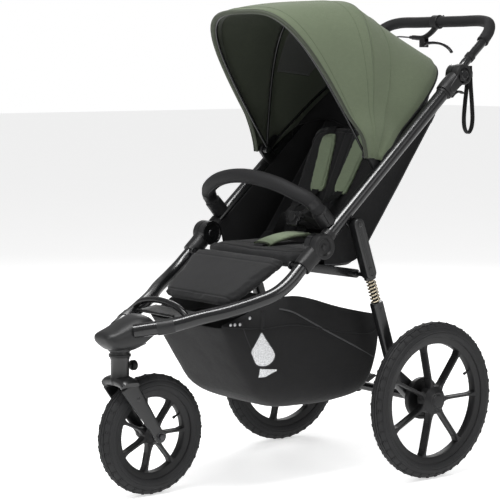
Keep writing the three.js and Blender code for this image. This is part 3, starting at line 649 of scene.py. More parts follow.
# ---------------------------------------------------------------- stuffing and sewing
def stuffed(made, voxel, pressure, cap):
    """Fills a slightly small closed shape with cloth pressure, then smooths it once."""
    even = made.modifiers.new("even mesh", "REMESH")
    even.mode = "VOXEL"
    even.voxel_size = voxel * MM
    apply_modifiers(made)
    start = [v.co.copy() for v in made.data.vertices]
    cloth = made.modifiers.new("stuffing", "CLOTH")
    cloth.settings.use_pressure = True
    cloth.settings.uniform_pressure_force = pressure
    cloth.settings.effector_weights.gravity = 0
    cloth.settings.quality = 5
    scene = bpy.context.scene
    for number in range(1, SOFTNESS_FRAMES + 1):
        scene.frame_set(number)
    apply_modifiers(made)
    scene.frame_set(1)
    for v, before in zip(made.data.vertices, start):
        step = v.co - before
        if step.length > cap * MM:
            v.co = before + step.normalized() * cap * MM
    finer = made.modifiers.new("smooth", "SUBSURF")
    finer.levels = finer.render_levels = 1
    apply_modifiers(made)
    made.data.polygons.foreach_set("use_smooth", [True] * len(made.data.polygons))


def apply_modifiers(made):
    seen = bpy.context.evaluated_depsgraph_get()
    seen.update()
    mesh = bpy.data.meshes.new_from_object(made.evaluated_get(seen))
    made.modifiers.clear()
    made.data = mesh


def sewn(made, depth_at):
    """Pulls the surface in along sewn lines. depth_at(point in mm) gives how far."""
    normals = [v.normal.copy() for v in made.data.vertices]
    for v, normal in zip(made.data.vertices, normals):
        depth = depth_at(v.co / MM, normal)
        if depth:
            v.co -= normal * depth * MM
    made.data.update()


def groove(distance, width, depth):
    """Depth of a sewn line at a distance from its middle."""
    return depth * math.exp(-((distance / width) ** 2))


def cushion(name, width, length, thick, place, finish, body, node, cap=9, taper=0.0, voxel=5.0,
            inset=3.0,
            corners=10.0):
    """Stuffed pad. It is drawn flat, x across, y along and z through, and place puts it on the stroller."""
    shape = bmesh.new()
    bmesh.ops.create_cube(shape, size=1)
    bmesh.ops.scale(shape, vec=(width - inset, length - inset, thick - inset), verts=shape.verts)
    long_edges = [e for e in shape.edges if e.calc_length() > 0]
    bmesh.ops.subdivide_edges(shape, edges=long_edges, cuts=6, use_grid_fill=True)
    for v in shape.verts:
        a, b = abs(v.co.x) * 2 / width, abs(v.co.y) * 2 / length
        pull = max(a, b) / max((a ** corners + b ** corners) ** (1 / corners), 1e-6)
        v.co.x *= pull * (1 - taper * (0.5 + v.co.y / length))
        v.co.y *= pull
    rounded(shape, min(thick * 0.34, 9), 3, 60)
    put(shape, place)
    made = piece(name, shape, finish, body, node)
    stuffed(made, voxel, 4.0, cap)
    return made


def cord_line(line, radius, sides=8):
    """Thin piping, seam or cable along points that are already close together."""
    return sweep(frames(line, radius, (0.13, 0.31, 0.94)), sides)


# ---------------------------------------------------------------- driving sizes, in millimetres
FOLD = (-73, 607)
FRAME_ANGLE = math.radians(41.5)
HANDLE = along(FOLD, FRAME_ANGLE, 629)
FRAME_X = 227
LEG_TOP = (37, 656)
LEG_ANGLE = math.radians(-71.14)
LEG_X = 240
AXLE = (243, 200)
RECLINE = (112, 606)
BACK_ANGLE = math.radians(66)
SLING_START = (134, 592)
SLING_ANGLE = math.radians(54)
CANOPY = (108, 822)
CANOPY_HALF = 212
HOOD_FRONT, HOOD_MID, HOOD_REAR = 124, 86, 40
HOOD_HEIGHT = 390
HOOD_REAR_HEIGHT = 395


def middle(node):
    low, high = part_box(node)
    return (low + high) / 2 / MM


def on_frame(distance, sideways=0.0, x=FRAME_X):
    y, z = along(FOLD, FRAME_ANGLE, distance, sideways)
    return (x, y, z)


# ---------------------------------------------------------------- wheels
TREAD = (
    (2, 0), (6, 0), (7.5, -1.7), (10.5, -1.7), (12, 0), (24, 0), (25.5, -1.5), (28.5, -1.5), (30, 0),
    (37, -0.2), (50, -0.4), (58, -0.9), (61, -1.9), (66, -1.9), (69, -1.1), (78, -0.9), (86, -1.1),
    (89, -1.9), (93, -1.9), (96, -1.1), (108, -1.2), (120, -1.4), (128, -2),
)


def tyre(radius, half, steps):
    middle_radius = radius - half
    profile = []
    for angle, rise in [(-a, r) for a, r in reversed(TREAD)] + list(TREAD):
        turn = math.radians(angle)
        profile.append((middle_radius + (half + rise) * math.cos(turn), (half + rise) * math.sin(turn)))
    shape = turned(profile, (0, 0, 0), steps=steps, ring=True)
    blocks = []
    for face in shape.faces:
        c = face.calc_center_median()
        lean = math.degrees(math.atan2(c.x, math.hypot(c.y, c.z) - middle_radius))
        step = int((math.atan2(c.z, c.y) / FULL_TURN + 1) * steps)
        if 30 < abs(lean) < 57 and step % 4 == (0 if lean > 0 else 2):
            blocks.append(face)
        elif 12 < abs(lean) < 24 and step % 4 == (1 if lean > 0 else 3):
            blocks.append(face)
    bmesh.ops.inset_individual(shape, faces=blocks, thickness=0.7, depth=-1.5, use_even_offset=True)
    return shape


def rim(seat, lip, hub_radius, hub_half, bore):
    inner = seat - 16
    side = [
        (inner, 7), (inner + 1.5, 11), (inner + 5, 13.5), (lip - 1, 15.4), (lip, 14.6), (lip - 0.5, 13),
        (seat - 6, 11.5),
    ]
    ring = [(r, -x) for r, x in side] + [(r, x) for r, x in reversed(side)]
    parts = [turned(ring, (0, 0, 0), steps=112, ring=True)]
    for i in range(7):
        turn = FULL_TURN * i / 7
        parts.append(spoke(turn, hub_radius, inner))
    hub = [
        (bore, -hub_half), (hub_radius * 0.6, -hub_half), (hub_radius * 0.66, -hub_half + 4),
        (hub_radius * 0.9, -15), (hub_radius, -11), (hub_radius, 11), (hub_radius * 0.9, 15),
        (hub_radius * 0.66, hub_half - 4), (hub_radius * 0.6, hub_half), (bore, hub_half),
    ]
    parts.append(turned(hub, (0, 0, 0), steps=56, ring=True))
    valve_turn = math.radians(25)
    out = Vector((0, math.cos(valve_turn), math.sin(valve_turn)))
    parts.append(rod([out * (inner - 17), out * (inner - 12)], 3.6, 2, 14, ends=1.0))
    parts.append(rod([out * (inner - 12), out * (inner + 2)], 2.6, 2, 14))
    return joined(*parts)


def spoke(turn, hub_radius, inner):
    out = Vector((0, math.cos(turn), math.sin(turn)))
    stations = [
        (hub_radius - 5, 11), (hub_radius + 1, 8), (hub_radius + 7, 5.2), (hub_radius + 16, 3.9),
        (hub_radius + 22, 3.6), (inner - 14, 3.6), (inner - 8, 4.4), (inner - 3, 6.2), (inner + 3, 9),
    ]
    places = []
    for r, half in stations:
        across = out.cross(Vector((1, 0, 0)))
        place = Matrix((Vector((1, 0, 0)) * 12, -across * half, out)).transposed().to_4x4()
        place.translation = out * r
        places.append(place)
    shape = sweep(places, 20, 8)
    bmesh.ops.recalc_face_normals(shape, faces=shape.faces)
    flats = []
    for face in shape.faces:
        c = face.calc_center_median()
        if hub_radius + 22 < c.dot(out) < inner - 14 and abs(face.normal.x) < 0.2 and abs(c.x) < 9.5:
            flats.append(face)
    bmesh.ops.inset_region(shape, faces=flats, thickness=1.4, depth=-1.3, use_even_offset=True)
    return shape


def hub_cap(hub_half, radius):
    cap = bmesh.new()
    bmesh.ops.create_cone(cap, cap_ends=True, segments=8, radius1=radius, radius2=radius * 0.86, depth=4)
    rounded(cap, 1.4, 3)
    bmesh.ops.rotate(cap, matrix=Matrix.Rotation(math.pi / 2, 3, "Y"), verts=cap.verts)
    bmesh.ops.rotate(cap, matrix=Matrix.Rotation(math.radians(22.5), 3, "X"), verts=cap.verts)
    return moved(cap, hub_half + 1.0, 0, 0)


def add_wheels():
    rear = middle("tyre_left")
    bodies = ("wheel_left", "wheel_right")
    pair("tyre_tread", moved(tyre(200, 24, 176), *rear), tyre_rubber, bodies, "tyre", 30)
    spokes = joined(rim(160.7, 165.5, 36, 24, 6.4), hub_cap(24, 19))
    pair("wheel_rim", moved(spokes, *rear), wheel_plastic, bodies, "rim", 32)
    front = middle("front_tyre")
    piece("front_tyre_tread", moved(tyre(149, 25, 136), *front), tyre_rubber, "front_wheel", "front_tyre",
          30)
    front_rim = moved(rim(108.1, 113, 26, 29.5, 4.4), *front)
    piece("front_wheel_rim", front_rim, wheel_plastic, "front_wheel", "front_rim", 32)


# ---------------------------------------------------------------- steering fork
def add_fork():
    swivel = (0, -508, 0)
    stem = turned([
        (0, 284), (24, 284), (25.5, 287), (25.5, 296), (23.5, 299), (22.5, 302), (22.5, 343), (23.6, 345),
        (24.2, 348), (24.2, 361), (23, 364.6), (0, 364.6),
    ], swivel, "Z")
    crown_line = [(-43, -507, 281), (-34, -507, 287), (-15, -507.5, 291), (15, -507.5, 291),
                  (34, -507, 287), (43, -507, 281)]
    crown = rod(crown_line, (25, 13.5), 40, 28, (0, 1, 0), 1.0, 2.6)
    blades = []
    for x in (-39, 39):
        line = [(x, -508, 284), (x, -489, 252), (x, -456, 204), (x, -432, 168), (x, -419, 149)]
        blades.append(rod(line, fork_width, 44, 28, (1, 0, 0), 2.0, 3.2))
        out = 1 if x > 0 else -1
        boss = turned([(4.4, -5.6), (15, -5.6), (16.2, -4), (16.2, 3.6), (14.5, 5.4), (4.4, 5.4)],
                      (0, 0, 0), steps=48, ring=True)
        if out < 0:
            boss = other_side(boss)
        blades.append(moved(boss, x, -419, 149))
        screw = bolt(0, 0, 0, 4.6)
        screw = screw if out > 0 else other_side(screw)
        blades.append(moved(screw, x + out * 4.6, -484, 249))
    piece("fork_legs", joined(stem, crown, *blades), casting_paint, "fork", "front_fork", 40)

    collar = turned([(22.6, 350), (26.2, 350), (27, 351), (27, 356), (26.2, 357), (22.6, 357)], swivel, "Z",
                    ring=True)
    piece("swivel_collar", collar, hub_plastic, "fork")

    shaft = rod([(-50, -419, 149), (50, -419, 149)], 3.9, 2, 16)
    heads = []
    for out in (1, -1):
        washer = turned([(0, 44.6), (10.5, 44.6), (11, 45.4), (10.5, 46.4), (0, 46.4)], (0, -419, 149),
                        steps=32)
        nut = bmesh.new()
        bmesh.ops.create_cone(nut, cap_ends=True, segments=6, radius1=8.6, radius2=8.2, depth=6)
        rounded(nut, 0.8, 2)
        put(nut, Matrix.Translation((49, -419, 149)) @ Matrix.Rotation(math.pi / 2, 4, "Y"))
        both = joined(washer, nut)
        heads.append(both if out > 0 else other_side(both))
    piece("front_axle_bolt", joined(shaft, *heads), dark_steel, "fork", "front_axle", 30)

    knob = turned([(0, 0.6), (5, 0.6), (5, 8), (11, 10), (12, 12), (12, 21), (10.6, 23.4), (0, 24)],
                  (0, 0, 0), "Y", 48)
    ribs = [f for f in knob.faces if abs(math.hypot(f.calc_center_median().x,
                                                    f.calc_center_median().z) - 12) < 0.4]
    bmesh.ops.inset_individual(knob, faces=ribs, thickness=0.25, depth=-0.7)
    moved(knob, 0, -485.5, 325)
    piece("swivel_lock_button", knob, hub_plastic, "swivel_lock", "swivel_lock_knob", 30)


def fork_width(share):
    if share < 0.25:
        return (5.4, 25 - 14 * share)
    if share < 0.8:
        return (5.2, 21.5 - 12 * (share - 0.25))
    return (5.2, 14.9 - 3 * (share - 0.8))


# ---------------------------------------------------------------- nose, lower frame and footrest
NOSE_STATIONS = (
    (-563.5, 399, 3, 17), (-562.5, 398.5, 8, 26), (-559, 397.5, 14, 33), (-552, 396, 19, 38),
    (-542, 394, 24.5, 41.5),
    (-528, 395, 29, 43.5), (-510, 399, 33.5, 45), (-490, 403.5, 37.5, 47), (-474, 407, 40.5, 48.5),
    (-460, 411, 39, 49.5), (-448, 414.5, 33.5, 49.5), (-438, 416, 27.5, 48.5), (-430, 415, 21, 46),
    (-425.5, 413.5, 14, 41), (-423.6, 413, 6, 34),
)
LOWER_TUBE_LINE = (
    (38, -492, 414), (60, -463, 420), (90, -424, 427), (127, -361, 445), (166, -301, 461), (200, -251, 480),
    (221, -204, 500), (227, -165, 526), (227, -130, 557), (227, -102, 581),
)


def add_lower_frame():
    places = []
    for y, z, high, wide in NOSE_STATIONS:
        place = Matrix((Vector((wide, 0, 0)), Vector((0, 0, high)),
                        Vector((0, -1, 0)))).transposed().to_4x4()
        place.translation = (0, y, z)
        places.append(place)
    nose = sweep(places, 56, 2.5)
    cup = turned([(0, 364), (27, 364), (28.5, 366), (28.5, 371), (30, 376), (0, 376)], (0, -508, 0), "Z")
    under = rod([(0, -552, 388), (0, -500, 369), (0, -452, 380)], (30, 4), 20, 24, (1, 0, 0), 4, 3)
    piece("nose_cover", joined(nose, cup, under), nose_plastic, "lower_frame", "front_bracket",
          45)

    tube = rod(LOWER_TUBE_LINE, 17, 90, 32)
    pair("side_tube", tube, frame_paint, "lower_frame", "lower_tube")
    sleeve_line = smooth_line(LOWER_TUBE_LINE, 60)
    clamp = sweep(frames(sleeve_line[7:13], 18.6), 32)
    pair("nose_sleeve", clamp, nose_plastic, "lower_frame")

    rest = [(-113, -385, 437), (-104, -387.5, 451), (-88, -389, 462), (-60, -390, 471), (0, -390, 477),
            (60, -390, 471), (88, -389, 462), (104, -387.5, 451), (113, -385, 437)]
    piece("footrest_hoop", rod(rest, 8, 90, 24, (0, 1, 0)), gloss_plastic, "lower_frame", "footrest_bar")

    def tray_point(u, v):
        y = -404 + 92 * v
        half = 76 + 50 * v
        sag = 2.2 * math.cos(math.pi * (u - 0.5)) * math.sin(math.pi * v)
        rib = 1.3 if v > 0.12 and v < 0.9 and (v * 12) % 1 < 0.45 and abs(u - 0.5) < 0.4 else 0
        return Vector(((2 * u - 1) * half, y, 446.5 - sag + rib))

    tray = piece("footrest_plate", cloth_grid(48, 60, tray_point), hub_plastic, "lower_frame",
                 "footrest_tray",
                 closed=False)
    thickened(tray, 4)
    edge = [tray_point(0.001 + 0.998 * i / 30, 0.01) for i in range(31)]
    piece("footrest_edge", cord_line(edge, 3.2, 12), gloss_plastic, "lower_frame")


# ---------------------------------------------------------------- hinges
def hinge_outer(pivot, angle, disc, sleeve_end, x0=FRAME_X + 1):
    step = disc / 32
    profile = [
        (0, 19.6), (8 * step, 19.6), (9 * step, 18.4), (19 * step, 18.4), (20.5 * step, 21.6),
        (22 * step, 23),
        (28.5 * step, 23), (31 * step, 21.4), (32 * step, 18.5), (32 * step, 0), (0, 0),
    ]
    face = turned(profile, (x0, *pivot), steps=64)
    a, b = along(pivot, angle, disc * 0.5), along(pivot, angle, sleeve_end)
    sleeve = rod([(x0 + 2, *a), (FRAME_X, *along(pivot, angle, disc + 10)), (FRAME_X, *b)], sleeve_size, 24,
                 32, (1, 0, 0), 1.2, 2.4)
    return joined(face, sleeve)


def sleeve_size(share):
    return (22 if share < 0.75 else 22 - 9 * (share - 0.75), 22)


def hinge_inner(pivot, disc):
    profile = [
        (0, -22.6), (10, -22.6), (11, -21), (disc - 8, -21), (disc - 7, -22.4), (disc - 2.5, -22.4),
        (disc, -20),
        (disc, -0.6), (0, -0.6),
    ]
    return turned(profile, (FRAME_X, *pivot), steps=64)


def add_hinges():
    down = FRAME_ANGLE + math.pi
    hub = hinge_outer(FOLD, down, 32, 74)
    cap = bolt(0, 0, 0, 7.5, 3)
    moved(cap, FRAME_X + 20, *FOLD)
    pin = rod([(195, -137, 563), (220, -137, 563)], 5, 2, 20)
    pair("fold_hub_cover", joined(hub, cap, pin), hub_plastic, "lower_frame", "fold_hub",
         32)
    knuckle = hinge_outer(HANDLE, down, 27, 70)
    rib = slab(link_outline(along(HANDLE, down, 8), 17, along(HANDLE, down, 52), 11), FRAME_X + 12,
               FRAME_X + 24, 2.5, 3)
    pair("tilt_knuckle", joined(knuckle, rib), hub_plastic, "upper_frame", "handle_hinge",
         32)
    button = turned([(0, 22), (13.6, 22), (13.6, 24.6), (12, 26.6), (9.5, 27), (8.6, 26), (0, 25.6)],
                    (FRAME_X, *HANDLE), steps=48)
    pair("tilt_button", button, gloss_plastic, ("button_left", "button_right"), "handle_button",
         30)

    def under(d, s):
        return (FRAME_X, *along(HANDLE, FRAME_ANGLE, d, s))

    hook = rod([under(-56, -26), under(-44, -26.5), under(-32, -31), under(-24, -39), under(-20, -46)],
               lambda t: (7, 4.2 - 1.2 * t), 30, 20, (1, 0, 0), 1.6, 3)
    piece("fold_release_trigger", hook, hub_plastic, "fold_release", "fold_trigger")


# ---------------------------------------------------------------- upper frame
def add_upper_frame():
    tube = rod([on_frame(12), on_frame(596)], 17, 60, 36)
    inner = hinge_inner(FOLD, 32)
    lug_angle = FRAME_ANGLE - math.pi / 2
    lug = slab(link_outline(along(LEG_TOP, lug_angle, -20), 14, LEG_TOP, 12.5), FRAME_X - 12, LEG_X - 15, 2,
               3)
    pin = rod([(FRAME_X - 8, *LEG_TOP), (LEG_X + 13.6, *LEG_TOP)], 5, 2, 20)
    pair("push_tube", joined(tube, inner, lug, pin), frame_paint, "upper_frame", "upper_tube", 34)
    collar = sweep(frames(smooth_line([on_frame(30), on_frame(46)], 4), 18.4), 32)
    band = sweep(frames(smooth_line([on_frame(552), on_frame(560)], 3), 18.2), 32)
    pair("tube_collar", joined(collar, band), hub_plastic, "upper_frame")

    bumper_lean = math.radians(132)
    end = (-49, 676)
    arm = [(216, *along(end, bumper_lean, d)) for d in (-17, 0, 12, 22)]
    socket = rod(arm, lambda t: (21.5 - 1.5 * t, 21.5 - 1.0 * t), 18, 32, (1, 0, 0), 1.5, 2.2)
    clip = slab(link_outline(along(end, bumper_lean, -10), 10, along(end, bumper_lean, 14), 7), 232, 238.5,
                1.6, 3)
    pair("bumper_holder", joined(socket, clip), hub_plastic, "upper_frame", "bumper_socket")

    foot = along(CANOPY, FRAME_ANGLE - math.pi / 2, 36)
    lug_end = along(CANOPY, math.radians(HOOD_REAR), 46)
    holder = slab(link_outline(CANOPY, 14.5, foot, 16), 206.5, 220, 2.5, 3)
    ear = slab(link_outline(CANOPY, 14, lug_end, 9), 206.5, 215, 2, 3)
    cap = turned([(0, 0), (11, 0), (11, 2), (9.5, 3.6), (5, 3.8), (4, 3), (0, 3)], (220, *CANOPY), steps=40)
    pair("hood_bracket", joined(holder, ear, cap), hub_plastic, "upper_frame", "canopy_pivot")


def add_bumper():
    lean = math.radians(132)
    arm = [(216, *along((-49, 676), lean, d)) for d in (1, 10, 20, 32)]
    side = [*arm, (204, -86, 721), (172, -102, 737), (126, -114, 754), (68, -122, 766)]
    line = [*side, (0, -125, 771), *[(-x, y, z) for x, y, z in reversed(side)]]
    piece("bumper_sleeve", rod(line, (18.3, 17.6), 150, 32), bumper_foam, "bumper", "bumper_bar")
    # the zip seam runs along the inner underside of the sleeve
    seam = []
    for place in frames(smooth_line(line, 150)[14:-14], 1):
        seam.append(place @ Vector((-10.5, -14.6, 0)))
    piece("bumper_seam", cord_line(seam, 1.1, 8), dark_thread, "bumper")
    cuffs = []
    for at in (12, 138):
        cuffs.append(sweep(frames(smooth_line(line, 150)[at - 2:at + 3], 18.9), 32))
    piece("bumper_cuffs", joined(*cuffs), hub_plastic, "bumper")


# ---------------------------------------------------------------- handlebar and brake
HANDLE_ARM = ((226, 418, 1049), (226, 455, 1081), (225, 488, 1109), (216, 520, 1137), (193, 543, 1157),
              (160, 552, 1164.5))


def both_arms(arm):
    far = [(-x, y, z) for x, y, z in reversed(arm)]
    return [*arm, (80, 553, 1165), (0, 553, 1165), (-80, 553, 1165), *far]


def add_handle():
    arm = [(226, HANDLE[0] + 8, HANDLE[1] + 8), *HANDLE_ARM]
    bar = rod(both_arms(arm), 11.5, 150, 28, (0, 0.7, -0.7))
    disc = hinge_inner(HANDLE, 27)
    piece("push_bar", joined(bar, disc, other_side(disc)), frame_paint, "handle", "handlebar", 34)
    grip = rod(both_arms(list(HANDLE_ARM[2:])), 15, 150, 32, (0, 0.7, -0.7), 2.0)
    piece("bar_grip", grip, grip_foam, "handle", "handle_grip")
    line = smooth_line(both_arms(list(HANDLE_ARM[2:])), 150)
    seam = [place @ Vector((8, 12.6, 0)) for place in frames(line[3:-3], 1, (0, 0.7, -0.7))]
    piece("grip_seam", cord_line(seam, 0.8, 6), dark_thread, "handle")
    rings = [sweep(frames([line[k], line[k + 1]], 15.9, (0, 0.7, -0.7)), 32) for k in (0, 148)]
    piece("grip_rings", joined(*rings), hub_plastic, "handle")

    clamp = turned([(15.2, -24), (18, -24), (19.2, -22.6), (19.2, -1.4), (18, 0), (15.2, 0)],
                   (0, 553, 1165), ring=True)
    perch = rod([(-12, 550, 1151), (-30, 545, 1134), (-52, 541, 1123), (-94, 540, 1124)],
                lambda t: (8.4 - 2 * t, 7.6 - 1.2 * t),
                36, 24, (0, 1, 0), 2)
    screw = moved(bolt(0, 0, 0, 3.6, 2), 0, 565, 1180)
    barrel = rod([(-92, 540, 1124), (-104, 540, 1124.4)], 4.4, 3, 20, ends=1)
    cheeks = [block((20, 2.6, 25), (-50, 541 + side * 7.4, 1109), 1.2, 2) for side in (1, -1)]
    pin = rod([(-50, 531, 1103), (-50, 551, 1103)], 2.6, 2, 16, ends=0.6)
    piece("brake_mount", joined(clamp, perch, screw, barrel, *cheeks, pin), hub_plastic, "handle",
          "brake_clamp", 34)
    blade = rod([(-52, 541, 1102), (-36, 541, 1107), (-8, 541, 1108.5), (20, 541, 1105), (40, 541, 1097),
                 (54, 541, 1087), (58, 541, 1082)],
                lambda t: (6 - 1.2 * t, 4.6 - 1.4 * t), 50, 20, (0, 1, 0), 1.6, 3)
    piece("brake_blade", blade, gloss_plastic, "brake_hand_lever", "brake_lever")
    cable = rod([(-100, 540, 1124), (-118, 540, 1125), (-150, 532, 1126), (-178, 512, 1117),
                 (-195, 485, 1096),
                 (-203, 455, 1070), (-206, 432, 1052)], 2.1, 60, 14, (0, 0, 1))
    piece("brake_cable_housing", cable, cable_cover, "handle", "brake_cable")


def add_wrist_strap():
    loop = [(440.5, 1046), (443.5, 1000), (450, 940), (452, 905), (447, 882), (436, 870.5), (425, 882),
            (420.6, 905),
            (423, 940), (430.5, 1000), (434.5, 1046)]
    strap = rod([(227, y, z) for y, z in loop], (7.4, 1.1), 90, 16, (1, 0, 0), 0.0, 5)
    keeper = block((17, 13, 16), (227, 437.4, 1024), 2.2, 3)
    collar = turned([(11.8, -8), (13.2, -7), (13.2, 7), (11.8, 8)], (0, 0, 0), steps=32, ring=True)
    put(collar, Matrix.Translation((226, 440, 1068)) @ Matrix.Rotation(math.radians(41), 4,
                                                                       "X") @ Matrix.Rotation(math.pi / 2,
                                                                                              4, "Z"))
    piece("wrist_loop", joined(strap, collar), strap_cloth, "handle", "wrist_strap")
    piece("wrist_loop_keeper", keeper, hub_plastic, "handle")


# ---------------------------------------------------------------- rear legs, axle and parking brake
def leg_point(distance, sideways=0.0, x=LEG_X):
    return (x, *along(LEG_TOP, LEG_ANGLE, distance, sideways))


def add_legs():
    bottom = leg_point(131)[1:]
    upper = slab(link_outline(LEG_TOP, 15.5, bottom, 16), 226, 254, 4, 4)
    sink_panel(upper, (1, 0, 0), 400, 5, 1.6)
    bolts = [bolt(253.6, *LEG_TOP, 6.5, 3), bolt(252.2, *leg_point(118)[1:], 4)]
    ring = rod([leg_point(138), leg_point(147)], 15, 2, 32)
    pair("leg_housing", joined(upper, *bolts, ring), casting_paint, "rear_legs", "rear_leg",
         34)

    ahead = (Vector(leg_point(1)) - Vector(leg_point(0))).normalized()
    side = Vector((1, 0, 0))
    other = ahead.cross(side)
    turns, coil = 6.5, []
    for i in range(int(turns * 20) + 1):
        angle = FULL_TURN * i / 20
        rise = 150.5 + 59 * i / (turns * 20)
        coil.append(Vector(leg_point(rise)) + (side * math.cos(angle) + other * math.sin(angle)) * 11)
    spring = sweep(frames(coil, 2.3, ahead), 10)
    pair("coil_spring", spring, spring_metal, "rear_legs", "spring")

    shank = rod([leg_point(213), leg_point(232), leg_point(330), leg_point(424)],
                lambda t: (13, 15.6 - 1.4 * t), 30, 32, (1, 0, 0), 1.5, 4)
    seat = rod([leg_point(210.5), leg_point(214)], 15, 2, 32)
    core = rod([leg_point(130), leg_point(222)], 7.8, 2, 24)
    knuckle = slab(link_outline(leg_point(417)[1:], 17, AXLE, 22), 227, 253, 4, 4)
    bolts = [bolt(252.6, *leg_point(404)[1:], 4.4), bolt(252.6, *leg_point(228)[1:], 4)]
    pair("leg_shank", joined(shank, seat, core, knuckle, *bolts), casting_paint, "rear_beam", "lower_leg",
         34)

    beam = rod([(-226.6, *AXLE), (226.6, *AXLE)], 12, 4, 32)
    stub = rod([(-322, *AXLE), (322, *AXLE)], 5.9, 4, 20)
    piece("rear_axle_beam", joined(beam, stub), frame_paint, "rear_beam", "rear_axle")
    plate = turned([
        (6.2, 254.4), (24, 254.4), (27, 256), (46, 256), (49, 254.6), (53, 257), (54, 260), (54, 270),
        (52.5, 271.8), (47, 272),
        (45.5, 269), (20, 269), (18, 271), (6.2, 271),
    ], (0, *AXLE), steps=72, ring=True)
    pair("brake_drum_cover", plate, hub_plastic, "rear_beam", "brake_drum", 30)

    y, z = AXLE
    ring = turned([(12.5, -24), (18, -24), (19, -23), (19, 23), (18, 24), (12.5, 24)], (0, y, z), steps=48,
                  ring=True)
    pad = slab([(y + 8, z + 5), (y + 40, z + 17), (y + 59, z + 22), (y + 66, z + 16.5), (y + 50, z + 8),
                (y + 12, z - 9)], -23.5, 23.5, 2.4, 3)
    grips = [block((40, 2.4, 2.2), (0, y + d, z + 17.4 + (d - 40) * 0.3), 0.8, 2,
                   Matrix.Rotation(math.radians(17), 3, "X"))
             for d in (38, 44, 50)]
    piece("parking_pedal", joined(ring, pad, *grips), hub_plastic, "parking_brake", "brake_pedal",
          34)

    bar = slab(link_outline((-137, 563), 11, (74, 527), 11), 196, 202, 1.6, 3)
    ends = [turned([(0, 0), (6.5, 0), (6.5, 1.6), (5, 2.6), (0, 2.6)], (202, *p),
                   steps=32) for p in ((-137, 563), (74, 527))]
    stud = rod([(200, 74, 527), (225, 74, 527)], 5.6, 2, 20)
    pair("parallel_link", joined(bar, *ends, stud), frame_paint, "links", "link", 34)


# ---------------------------------------------------------------- hood
def hood_point(half, height, across, lean):
    """Point of a hoop of the hood: across runs from one side to the other, lean is in degrees."""
    c, s = math.cos(across), math.sin(across)
    reach = (abs(c) ** 3.6 + abs(s) ** 3.6) ** (-1 / 3.6)
    rise = height * s * reach
    turn = math.radians(lean)
    return Vector((half * c * reach, CANOPY[0] + rise * math.cos(turn), CANOPY[1] + rise * math.sin(turn)))


def roof_height(lean):
    """Height of the roof above the pivots; behind the middle hoop it is pulled straight."""
    t = (lean - HOOD_MID) / (HOOD_FRONT - HOOD_MID)
    if t > 0:
        return HOOD_HEIGHT + 48 * t * t
    whole = HOOD_HEIGHT * HOOD_REAR_HEIGHT * math.sin(math.radians(HOOD_MID - HOOD_REAR))
    return whole / (HOOD_HEIGHT * math.sin(math.radians(HOOD_MID - lean))
                    + HOOD_REAR_HEIGHT * math.sin(math.radians(lean - HOOD_REAR)))


HOOD_EDGE = math.radians(2.2)
SKIRT = 22                             # cloth hanging below the rear hoop
SKIRT_SHARE = 0.14


def cloth_point(across, lean, inset):
    """Point on the hood's cloth: its low ends spread over the brackets and hang below the pivots."""
    height = roof_height(lean) - inset
    point = hood_point(CANOPY_HALF - inset, height, across, lean)
    rise = math.hypot(point.y - CANOPY[0], point.z - CANOPY[1])
    spread = min(max((130 - rise) / 80, 0), 1)
    point.x += math.copysign(15 * spread * spread * (3 - 2 * spread), point.x)
    low = max(0, 1 - rise / 80) ** 2
    point.z -= 30 * low
    point.y -= (lean - 72) * 0.4 * low
    return point


def hood_cloth(first, last, inset, dip):
    """Sheet between two hoops, pulled in a little between them."""
    down = math.radians(HOOD_REAR - 90)

    def place(u, v):
        across = HOOD_EDGE + (math.pi - 2 * HOOD_EDGE) * u
        drop = 0
        if first == HOOD_REAR:
            drop = SKIRT * max(0, 1 - v / SKIRT_SHARE)
            v = max(0, (v - SKIRT_SHARE) / (1 - SKIRT_SHARE))
        lean = first + (last - first) * v
        ripple = math.sin(across * 9 + v * 4) * math.sin(math.pi * v) * 0.9
        sag = inset + dip * math.sin(math.pi * v) * (0.45 + 0.55 * math.sin(across))
        point = cloth_point(across, lean, sag + ripple * (1 - math.sin(across)) * 1.6)
        drop *= min(1, math.hypot(point.y - CANOPY[0], point.z - CANOPY[1]) / 60)
        point.y += drop * math.cos(down)
        point.z += drop * math.sin(down)
        return point
    return place


def hoop_line(half, height, lean, start, count):
    return [hood_point(half, height, start + (math.pi - 2 * start) * i / count,
                       lean) for i in range(count + 1)]


def roof_middle(lean):
    return hood_point(CANOPY_HALF, roof_height(lean), math.pi / 2, lean) * MM


